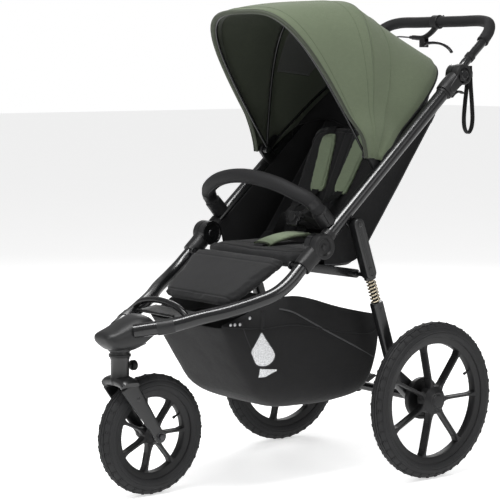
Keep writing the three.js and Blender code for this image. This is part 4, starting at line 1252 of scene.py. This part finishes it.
def add_hood():
    disc = [(0, 198.4), (9, 198.4), (11, 199.6), (11, 204.6), (9.6, 205.6), (0, 205.6)]
    for name, node, half, lean, start, body in (
        ("hood_hoop_middle", "canopy_mid_bow", 201, HOOD_MID, 0.02, "canopy_mid"),
        ("hood_hoop_front", "canopy_front_bow", 193.5, HOOD_FRONT, 0.02, "canopy_front"),
        ("hood_hoop_rear", "canopy_rear_bow", 201, HOOD_REAR, 0.11, "upper_frame"),
    ):
        hoop = sweep(frames(hoop_line(half, roof_height(lean) - 10, lean, start, 120), 3.5, (0, 0.6, 0.8)),
                     14)
        parts = [hoop]
        if body != "upper_frame":
            end = moved(turned(disc, (0, 0, 0), steps=36), half - 201, *CANOPY)
            parts += [end, other_side(end)]
        piece(name, joined(*parts), frame_paint, body, node)

    rear_to_mid = ("upper_frame", "canopy_mid", roof_middle(HOOD_REAR), roof_middle(HOOD_MID))
    mid_to_front = ("canopy_mid", "canopy_front", roof_middle(HOOD_MID), roof_middle(HOOD_FRONT))
    panels = (
        ("rear", HOOD_REAR, HOOD_MID, rear_to_mid, "canopy_rear_panel", (0.32, 1.14), 0.213),
        ("front", HOOD_MID, HOOD_FRONT, mid_to_front, "canopy_front_panel", (0.29, 1.16), 0.18),
    )
    for side, first, last, crossing, node, cut, area in panels:
        outer = piece(f"hood_{side}_cloth", cloth_grid(120, 36, hood_cloth(first, last, 0, 3.2)),
                      sage_cloth,
                      stands_for=node, closed=False, crease=180)
        thickened(outer, 1.2)
        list(crossing)
        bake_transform(outer)
        lining = piece(f"hood_{side}_lining", cloth_grid(100, 30, hood_cloth(first, last, 4.2, 3.4)),
                       lining_cloth,
                       closed=False, crease=180)
        thickened(lining, 0.8)
        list(crossing)
        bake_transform(lining)

    def edge(lean, out=0.6):
        return [cloth_point(HOOD_EDGE + (math.pi - 2 * HOOD_EDGE) * i / 110, lean,
                            -out) for i in range(111)]

    # turned-in hem that hides the front hoop
    def hem_point(u, v):
        across = HOOD_EDGE + (math.pi - 2 * HOOD_EDGE) * u
        lean = HOOD_FRONT + (0.4, 0.9, 1.0, 0.7, -0.6, -2.4)[round(v * 5)]
        return cloth_point(across, lean, (0.4, 2, 7, 12, 14.5, 15)[round(v * 5)])

    hem = piece("hood_front_hem", cloth_grid(120, 5, hem_point), lining_cloth, "canopy_front",
                closed=False, crease=180)
    thickened(hem, 0.9)
    binding = sweep(frames(edge(HOOD_FRONT + 0.2, -1.2), (2.4, 1.7), (0, 0.83, 0.56)), 14)
    piece("hood_front_binding", binding, binding_cloth, "canopy_front")
    piece("hood_middle_seam", cord_line(edge(HOOD_MID, 0.1), 0.8), sage_thread, "canopy_mid")
    skirt = hood_cloth(HOOD_REAR, HOOD_MID, 0.6, 0)
    rear_edge = sweep(frames([skirt(i / 110, 0) for i in range(111)], (3.2, 2.4), (0, 0.67, -0.74)), 12)
    piece("hood_rear_binding", rear_edge, black_cloth, "upper_frame")
    curved = hood_cloth(HOOD_REAR, HOOD_MID, -0.2, 3.2)

    def bent_seam(i):
        lean = 62 + 17 * math.sin(math.pi * i / 110) ** 1.3
        return curved(i / 110, SKIRT_SHARE
                      + (1 - SKIRT_SHARE) * (lean - HOOD_REAR) / (HOOD_MID - HOOD_REAR))

    side_seam = piece("hood_side_seam", cord_line([bent_seam(i) for i in range(111)], 1.0, 6), sage_thread)
    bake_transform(side_seam)
    for name, lean, body, crossing in (
        ("hood_front_seam", 92.5, None, mid_to_front), ("hood_brim_seam", 120.5, None, mid_to_front),
    ):
        if lean < HOOD_MID:
            share = (lean - HOOD_REAR) / (HOOD_MID - HOOD_REAR)
        else:
            share = (lean - HOOD_MID) / (HOOD_FRONT - HOOD_MID)
        first, last = (HOOD_REAR, HOOD_MID) if lean < HOOD_MID else (HOOD_MID, HOOD_FRONT)
        at = hood_cloth(first, last, -0.25, 3.2)
        seam = piece(name, cord_line([at(i / 110, share) for i in range(111)], 0.6, 6), sage_thread)
        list(crossing)
        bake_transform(seam)

    window = hood_cloth(HOOD_REAR, HOOD_MID, 5.4, 3.4)

    def window_point(u, v):
        return window(0.66 + 0.15 * u + 0.03 * v, 0.42 + 0.5 * v)

    pocket = piece("hood_inner_window", cloth_grid(24, 24, window_point), window_mesh,
                   closed=False, crease=180)
    thickened(pocket, 0.8)
    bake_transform(pocket)
    rim_line = [window_point(u, v) for u, v in
                [(i / 12, 0) for i in range(12)] + [(1, i / 12) for i in range(12)]
                + [(1 - i / 12, 1) for i in range(12)] + [(0, 1 - i / 12) for i in range(13)]]
    frame_edge = piece("hood_window_edge", cord_line(rim_line, 1.6), binding_cloth)
    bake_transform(frame_edge)

    # black cloth that closes the hood behind the child, down to the back of the seat
    inner = hood_cloth(HOOD_REAR, HOOD_MID, 3.4, 0)

    def back_point(u, v):
        half = 203
        x = half - 2 * half * u
        side = min(max((abs(x) - 165) / 39, 0), 1)
        low = Vector((x, *along((SLING_START[0] - 37 * side, SLING_START[1] + 6 * side), SLING_ANGLE,
                                360 + 24 * side)))
        high = inner(0.5 + (u - 0.5) * 0.84, 0.02)
        point = low.lerp(high, v)
        point.y += 7 * math.sin(math.pi * v) * math.sin(math.pi * u)
        return point

    back = piece("hood_back_cloth", cloth_grid(90, 30, back_point), black_cloth,
                 closed=False,
                 crease=180)
    thickened(back, 1.2)
    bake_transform(back)

    def vent_point(u, v):
        point = back_point(0.2 + 0.6 * u, 0.3 + 0.45 * v)
        return point + Vector((0, 1.8, 0.6))

    vent = piece("hood_back_vent", cloth_grid(30, 14, vent_point), window_mesh,
                 closed=False,
                 crease=180)
    thickened(vent, 1)
    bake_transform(vent)


# ---------------------------------------------------------------- seat
def pad_place(origin, ahead_angle, distance, sideways, x=0.0, turn=0.0):
    """Place of a flat-drawn pad: its y runs ahead in the side plane, its z stands off it."""
    ahead = Vector((0, math.cos(ahead_angle), math.sin(ahead_angle)))
    place = Matrix((Vector((1, 0, 0)), ahead, Vector((1, 0, 0)).cross(ahead))).transposed().to_4x4()
    place.translation = (x, *along(origin, ahead_angle, distance, sideways))
    return place @ Matrix.Rotation(turn, 4, "Z")


def edge_seam(place, width, length, border, line_width, depth, corners=8):
    """Sewn line that runs round a pad, a border in from its edge."""
    back = place.inverted()

    def depth_at(point, normal):
        p = back @ point
        a, b = abs(p.x) / (width / 2 - border), abs(p.y) / (length / 2 - border)
        round_it = (a ** corners + b ** corners) ** (1 / corners)
        return groove((round_it - 1) * min(width, length) / 2, line_width, depth)
    return depth_at


def add_seat():
    seat_place = pad_place((-10.5, 570), 0, 0, 0)
    seat = cushion("seat_cushion", 372, 228, 28, seat_place, charcoal_cloth, "lower_frame", "seat_pad",
                   cap=8, corners=12)
    sewn(seat, edge_seam(seat_place, 372, 228, 22, 3.2, 3.2))
    sewn(seat, lambda p, n: groove(p.y + 40, 3, 2.2) if abs(p.x) < 150 else 0)

    rest_place = pad_place((-131, 586), math.pi + 0.6, 101, 11)
    rest = cushion("leg_rest_cushion", 372, 196, 19, rest_place, charcoal_cloth, "leg_support", "leg_rest",
                   cap=6, taper=0.24, corners=9)
    back = rest_place.inverted()
    sewn(rest, lambda p, n: groove((back @ p).y - 76, 2.6, 2.4) + groove((back @ p).y + 60, 2.6, 1.4))

    back_place = pad_place(RECLINE, BACK_ANGLE, 163, -15)
    backrest = cushion("backrest_cushion", 318, 304, 26, back_place, charcoal_cloth, "backrest",
                       "backrest_pad",
                       cap=9, corners=8)
    sewn(backrest, edge_seam(back_place, 318, 304, 24, 3.4, 3.6))
    sewn(backrest, lambda p, n: groove(abs(p.x) - 16, 2.8, 1.6))

    for side in (1, -1):
        hand = "left" if side > 0 else "right"
        place = pad_place(RECLINE, BACK_ANGLE, 198, 8.4, side * 57, -side * math.radians(8.2))
        pad = cushion(f"harness_pad_{hand}", 66, 172, 11, place, pad_cloth, "backrest",
                      f"shoulder_pad_{hand}",
                      cap=4, voxel=4.0, corners=4.5, inset=1.5)
        sewn(pad, edge_seam(place, 66, 172, 8, 1.5, 1.5, 5))

    add_crotch_pad()
    add_harness()
    add_back_sling()
    add_side_wings()


def add_crotch_pad():
    line = [(0, -69, 594), (0, -50, 600.5), (0, -25, 606), (0, 5, 611), (0, 35, 613), (0, 65, 611),
            (0, 92, 603)]
    sleeve = rod(line, lambda t: (31 - 3 * t, 6.4 + 1.4 * math.sin(math.pi * t)), 60, 40, (1, 0, 0), 0.0,
                 3.0)
    mouth = [f for f in sleeve.faces if len(f.verts) > 4]
    bmesh.ops.inset_region(sleeve, faces=mouth, thickness=2.4, depth=-0.2, use_even_offset=True)
    grown = bmesh.ops.extrude_face_region(sleeve, geom=mouth)["geom"]
    for v in [g for g in grown if isinstance(g, bmesh.types.BMVert)]:
        v.co.y += 14 if v.co.y < 0 else -14
    bmesh.ops.delete(sleeve, geom=mouth, context="FACES_ONLY")
    pad = piece("crotch_sleeve", sleeve, pad_cloth, "lower_frame", "crotch_pad", crease=60)
    rim = [place @ Vector((math.cos(a) * k(a), math.sin(a) * k(a), 0))
           for place in frames(smooth_line(line, 60), (31.4, 6.9))[:1]
           for k in (lambda a: (abs(math.cos(a)) ** 3 + abs(math.sin(a)) ** 3) ** (-1 / 3),)
           for a in [FULL_TURN * i / 48 for i in range(49)]]
    piece("crotch_sleeve_hem", cord_line(rim, 1.5), seam_thread, "lower_frame")
    strap = [(0, -84, 589.8), (0, -78, 594.5), (0, -66, 596), (0, -30, 603), (0, 5, 607), (0, 40, 613),
             (0, 62, 622), (0, 58, 634), (0, 40, 640)]
    piece("crotch_strap", rod(strap, (18, 1.2), 60, 16, (1, 0, 0), 0.0, 6), strap_cloth, "lower_frame")


def band(points, width, thickness=1.1, steps=50, across=(1, 0, 0)):
    return rod(points, (width / 2, thickness), steps, 16, across, 0.0, 6)


def add_harness():
    y, z = 35, 655
    lean = Matrix.Rotation(math.radians(-22), 3, "X")
    shell = block((46, 9, 40), (0, y, z), 4, 4, lean)
    sides = [block((9, 7, 26), (s * 24, y + 1.5, z + 5), 2.5, 3, lean) for s in (1, -1)]
    prongs = [block((14, 3.4, 9), (s * 33, y + 3, z + 8), 1.4, 2, lean) for s in (1, -1)]
    piece("harness_buckle_shell", joined(shell, *sides, *prongs), gloss_plastic, "lower_frame",
          "harness_buckle", 34)
    button = turned([(0, 0), (12, 0), (12, 1.8), (10.6, 3), (4, 2.2), (0, 2)], (0, 0, 0), "Y", 40)
    bmesh.ops.scale(button, vec=(1, -1, 1), verts=button.verts)
    bmesh.ops.rotate(button, matrix=lean, verts=button.verts)
    piece("buckle_button", moved(button, 0, y - 4.2, z + 1.6), hub_plastic, "lower_frame")

    waist, shoulder = [], []
    for s in (1, -1):
        waist.append(band([(s * 30, 38, 662), (s * 62, 52, 648), (s * 104, 74, 622), (s * 140, 92, 600),
                           (s * 150, 100, 588)], 25,
                          across=(0.1, -0.6, 0.75)))
        shoulder.append(band([(s * 27, 40, 668), (s * 33, 62, 682), (s * 41, 104, 697), (s * 46, 142, 712),
                              (s * 52, 158, 735)], 25,
                             across=(1, 0, 0)))
    adjusters = [block((32, 6, 20), (s * 36, 76, 688.5), 2, 3,
                       Matrix.Rotation(math.radians(-62), 3, "X")) for s in (1, -1)]
    piece("waist_straps", joined(*waist), strap_cloth, "lower_frame")
    straps = piece("shoulder_straps", joined(*shoulder), strap_cloth)
    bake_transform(straps)
    piece("strap_adjusters", joined(*adjusters), hub_plastic, "lower_frame")
    upper = []
    for s in (1, -1):
        pad_top = (s * 70, *along(RECLINE, BACK_ANGLE, 283, 8))
        slot_in = (s * 72, *along(RECLINE, BACK_ANGLE, 303, 3))
        hidden = (s * 72, *along(RECLINE, BACK_ANGLE, 306, -8))
        upper.append(band([pad_top, slot_in, hidden], 30, steps=14))
    piece("shoulder_strap_tops", joined(*upper), strap_cloth, "backrest")


def add_back_sling():
    def sling_point(u, v):
        x = (1 - 2 * u) * 203
        hollow = 9 * math.sin(math.pi * u) * math.sin(math.pi * min(v * 1.1, 1))
        crease = 1.6 * math.sin(v * 21 + u * 5) * math.sin(math.pi * u) * (1 - v)
        side = min(max((abs(x) - 165) / 39, 0), 1)
        start = (SLING_START[0] - 37 * side, SLING_START[1] + 6 * side)
        y, z = along(start, SLING_ANGLE, 2 + (376 + 24 * side) * v, -4 - hollow + crease)
        return Vector((x, y, z))

    # the cloth stays at the foot of the backrest
    sling = piece("seat_back_cloth", cloth_grid(72, 72, sling_point), black_cloth, stands_for="back_sling",
                  closed=False, crease=180)
    thickened(sling, 1.6)
    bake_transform(sling)
    hem = [sling_point(0, i / 40) for i in range(41)] + [sling_point(i / 40, 1) for i in range(1, 41)]
    hem += [sling_point(1, 1 - i / 40) for i in range(1, 41)] + [sling_point(1 - i / 40,
                                                                             0) for i in range(1, 41)]
    edging = piece("seat_back_hem", cord_line(hem, 2.4, 10), dark_thread)
    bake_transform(edging)

    def panel_point(u, v):
        return sling_point(0.16 + 0.68 * u, 0.5 + 0.42 * v) + Vector((0, 1.6, -1.2))

    vent = piece("seat_back_vent", cloth_grid(40, 26, panel_point), window_mesh, "backrest",
                 closed=False, crease=180)
    thickened(vent, 1)
    zip_line = [sling_point(0.16 + 0.68 * i / 40, 0.46) + Vector((0, 2.2, -1.6)) for i in range(41)]
    piece("seat_back_zip", cord_line(zip_line, 1.8, 8), hub_plastic, "backrest")


def add_side_wings():
    start = (SLING_START[0] - 37, SLING_START[1] + 6)
    edge = [along(start, SLING_ANGLE, d, -4) for d in (2, 130, 270, 402)]
    low_line = smooth_line([(y, z, 0) for y,
                            z in [(-34, 558), (20, 556), (70, 566), *edge, (372, 957), (401, 976)]], 80)

    def wing_point(u, v):
        """From under the tube down to the cloth's rear edge, as far up as the handle hinge."""
        top = on_frame(34 + 580 * u, 0, 207)
        y, z, _ = low_line[min(round(u * 80), 80)]
        point = Vector((203, y, z)).lerp(Vector(top), v)
        point.x -= 6 * math.sin(math.pi * v) * math.sin(math.pi * u)
        return point

    for side in (1, -1):
        hand = "left" if side > 0 else "right"

        def place(u, v, side=side):
            point = wing_point(u if side > 0 else 1 - u, v)
            return Vector((side * point.x, point.y, point.z))

        wing = piece(f"seat_side_cloth_{hand}", cloth_grid(80, 30, place), black_cloth,
                     closed=False, crease=180)
        thickened(wing, 1.4, 0)
        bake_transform(wing)
        hem = [place(i / 80, 0.0) for i in range(81)]
        hem_cord = piece(f"seat_side_hem_{hand}", cord_line(hem, 1.8, 8), dark_thread)
        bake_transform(hem_cord)


def add_seat_base():
    """Black cloth slung under the seat cushion and up its sides to the wings."""
    def base_point(u, v):
        x = 203 - 406 * u
        side = min(max((abs(x) - 165) / 39, 0), 1)
        y = -32 + (168 - 36 * side) * v
        floor = 547 + 46 * max(0, (v - 0.6) / 0.4) ** 1.6 - 5 * math.sin(math.pi * u) * math.sin(math.pi * v)
        edge = 560 if y < 40 else 560 + 40 * ((y - 40) / 60) ** 1.5
        return Vector((x, y, floor + (edge - floor) * side ** 1.5))

    base = piece("seat_base_cloth", cloth_grid(72, 30, base_point), black_cloth, "lower_frame",
                 closed=False, crease=180)
    thickened(base, 1.6)


# ---------------------------------------------------------------- shopping basket
BASKET_STATIONS = (
    (-312, 147, 424, 417), (-306, 149, 426, 404), (-292, 153, 431, 383), (-274, 157, 438, 352),
    (-255, 161, 446, 321),
    (-236, 165, 454, 290), (-220, 168, 462, 266), (-206, 171, 467, 243), (-192, 173, 473, 226),
    (-160, 176, 481, 207),
    (-119, 177, 486, 196), (-60, 177, 474, 193), (15, 177, 449, 191), (70, 177, 435, 195),
    (110, 177, 426, 200),
    (132, 177, 421, 207), (148, 177, 418, 224), (160, 177, 415, 260), (167, 177, 413.5, 300),
    (169, 177, 413, 360),
    (169.6, 177, 413, 409),
)


def basket_size(t):
    """Half width, top and bottom of the basket at a share of its length, with y."""
    k = t * (len(BASKET_STATIONS) - 1)
    i = min(int(k), len(BASKET_STATIONS) - 2)
    lower, upper = BASKET_STATIONS[i], BASKET_STATIONS[i + 1]
    return [a + (b - a) * (k - i) for a, b in zip(lower, upper)]


def basket_point(u, v, out=0.0):
    sizes = [basket_size(min(max(v + d, 0), 1)) for d in (-0.02, 0, 0.02)]
    y, half, top, bottom = [sum(s[n] for s in sizes) / 3 for n in range(4)]
    turn = math.pi * u
    c, s = math.cos(turn), math.sin(turn)
    x = math.copysign(abs(c) ** 0.3, c)
    drop = abs(s) ** 0.3
    bulge = 1 + 0.018 * math.sin(math.pi * min(drop, 1)) * math.sin(math.pi * v)
    fold = 1.3 * math.sin(y * 0.045 + 1.3 * drop * 3) * drop * (1 - abs(x)) * 2
    ripple = 1.6 * math.sin(v * 37 + u * 3) * (1 - drop) * math.sin(math.pi * v)
    point = Vector(((half + out) * x * bulge + ripple * 0.4, y,
                    top - (top - bottom + out) * drop + fold * 0.5))
    return point


def basket_side(y, z, out=1.0, side=1):
    """Point on the basket's side cloth at a place in the side plane."""
    low, high = 0.0, 1.0
    for _ in range(22):
        v = (low + high) / 2
        if basket_point(0, v).y < y:
            low = v
        else:
            high = v
    low, high = 0.0, 0.5
    for _ in range(22):
        u = (low + high) / 2
        if basket_point(u, v).z > z:
            low = u
        else:
            high = u
    point = basket_point(u, v, out)
    return Vector((point.x * side, y, z))


def add_basket():
    shell = piece("basket_cloth_shell", cloth_grid(96, 150, lambda u, v: basket_point(1 - u, v)),
                  basket_cloth,
                  "lower_frame", "basket", closed=False, crease=70)
    thickened(shell, 1.6)
    parts = []
    for side in (1, -1):
        rim_line = [basket_point(0.003 if side > 0 else 0.997, 0.005 + 0.99 * i / 120) for i in range(121)]
        parts.append(cord_line(rim_line, 3.2, 12))
    rear = [basket_point(0.02 + 0.96 * i / 60, 0.985) + Vector((0, 1, 4)) for i in range(61)]
    parts.append(cord_line(rear, 3.4, 12))
    piece("basket_hem", joined(*parts), black_cloth, "lower_frame")

    for side in (1, -1):
        hand = "left" if side > 0 else "right"
        pipe = smooth_line([basket_side(y, z, 1.2, side) for y, z in
                            [(-158, 455), (-136, 450), (-114, 443), (-60, 415), (6, 380), (80, 343),
                             (154, 304)]], 70)
        seam = smooth_line([basket_side(y, z, 0.8, side) for y,
                            z in [(-262, 430), (-252, 396), (-236, 360), (-218, 326)]], 40)
        piece(f"basket_piping_{hand}", cord_line(pipe, 2.1, 10), piping_cloth, "lower_frame")
        piece(f"basket_front_seam_{hand}", cord_line(seam, 1.1, 8), dark_thread, "lower_frame")

        leaf = [(-210, 402), (-199, 386), (-186, 368), (-174, 350), (-172, 338), (-180, 325), (-194, 317),
                (-212, 317),
                (-224, 324), (-233, 342), (-238, 356), (-228, 374), (-218, 390)]

        def leaf_point(u, v, side=side, leaf=leaf):
            ring = smooth_ring(leaf, u)
            y = -204 + (ring[0] + 204) * v
            z = 352 + (ring[1] - 352) * v
            return basket_side(y, z, 1.6, side)

        vent = bmesh.new()
        bmesh.ops.create_grid(vent, x_segments=36, y_segments=8, size=0.5)
        for vert in vent.verts:
            vert.co = leaf_point(vert.co.x + 0.5, vert.co.y + 0.5)
        made = piece(f"basket_vent_{hand}", vent, vent_mesh, "lower_frame",
                     closed=False, crease=180)
        thickened(made, 0.8, 0)
        edge = [leaf_point(i / 60, 1.0) for i in range(61)]
        piece(f"basket_vent_edge_{hand}", cord_line(edge, 1.5, 8), dark_thread, "lower_frame")
        tab = [basket_side(y, z, 2.0, side) for y,
               z in ((-206, 456), (-206, 438), (-207, 422), (-208, 407))]
        piece(f"basket_tab_{hand}", rod(tab, (1.2, 5.5), 16, 14, (1, 0, 0), 0, 5), strap_cloth,
              "lower_frame")
        flap = bmesh.new()
        bmesh.ops.create_grid(flap, x_segments=16, y_segments=10, size=0.5)
        for vert in flap.verts:
            share = vert.co.x + 0.5
            across = (vert.co.y + 0.5) * (1 if share < 0.35 else 1 - 0.75 * (share - 0.35) / 0.65)
            vert.co = basket_side(-212 + 46 * share, 311 - 22 * across * (1 - 0.35 * share) - 5 * share,
                                  1.8, side)
        patch = piece(f"basket_patch_{hand}", flap, vent_mesh, "lower_frame",
                      closed=False, crease=180)
        thickened(patch, 0.9, 0)
        studs = []
        for y in (-290, -279, -266, -240):
            z = 432 if y < -260 else 446
            spot = basket_side(y, z - 8, 0.6, side)
            stud = turned([(0, 0), (4.2, 0), (4.2, 1), (3.2, 1.8), (0, 2)], (0, 0, 0), steps=24)
            stud = stud if side > 0 else other_side(stud)
            studs.append(moved(stud, *spot))
        piece(f"basket_studs_{hand}", joined(*studs), zinc_steel, "lower_frame")


def smooth_ring(points, share):
    k = share * len(points)
    i = int(k) % len(points)
    t = k - int(k)
    p0, p1, p2, p3 = [points[(i + n) % len(points)] for n in (-1, 0, 1, 2)]
    return tuple(
        0.5 * (2 * b + (c - a) * t + (2 * a - 5 * b + 4 * c - d) * t * t + (3 * b - a - 3 * c + d) * t ** 3)
        for a, b, c, d in zip(p0, p1, p2, p3)
    )


# ---------------------------------------------------------------- the whole stroller
def build():
    add_lights()
    add_wheels()
    add_fork()
    add_lower_frame()
    add_hinges()
    add_upper_frame()
    add_bumper()
    add_handle()
    add_wrist_strap()
    add_legs()
    add_hood()
    add_seat()
    add_seat_base()
    add_basket()
    add_floor()


FLOOR_GLOW = 0.55                      # keeps the floor pale far behind the stroller


def add_floor():
    shape = bmesh.new()
    below = Matrix.Translation((0, 0, -0.001))
    bmesh.ops.create_grid(shape, x_segments=1, y_segments=1, size=30, matrix=below)
    mesh = bpy.data.meshes.new("floor")
    shape.to_mesh(mesh)
    shape.free()
    floor = bpy.data.objects.new("floor", mesh)
    f = Finish("studio_floor")
    haze = f.noise(2, 2)
    tone = f.between(haze, rgb(0.84, 0.84, 0.84), rgb(0.87, 0.87, 0.87))
    glow = {"Emission Color": rgb(1, 1, 1), "Emission Strength": FLOOR_GLOW}
    mesh.materials.append(f.done(tone, 0.6 + haze * 0.1, f.bump(haze, 0.001, 0.05), glow))
    bpy.context.scene.collection.objects.link(floor)


build()
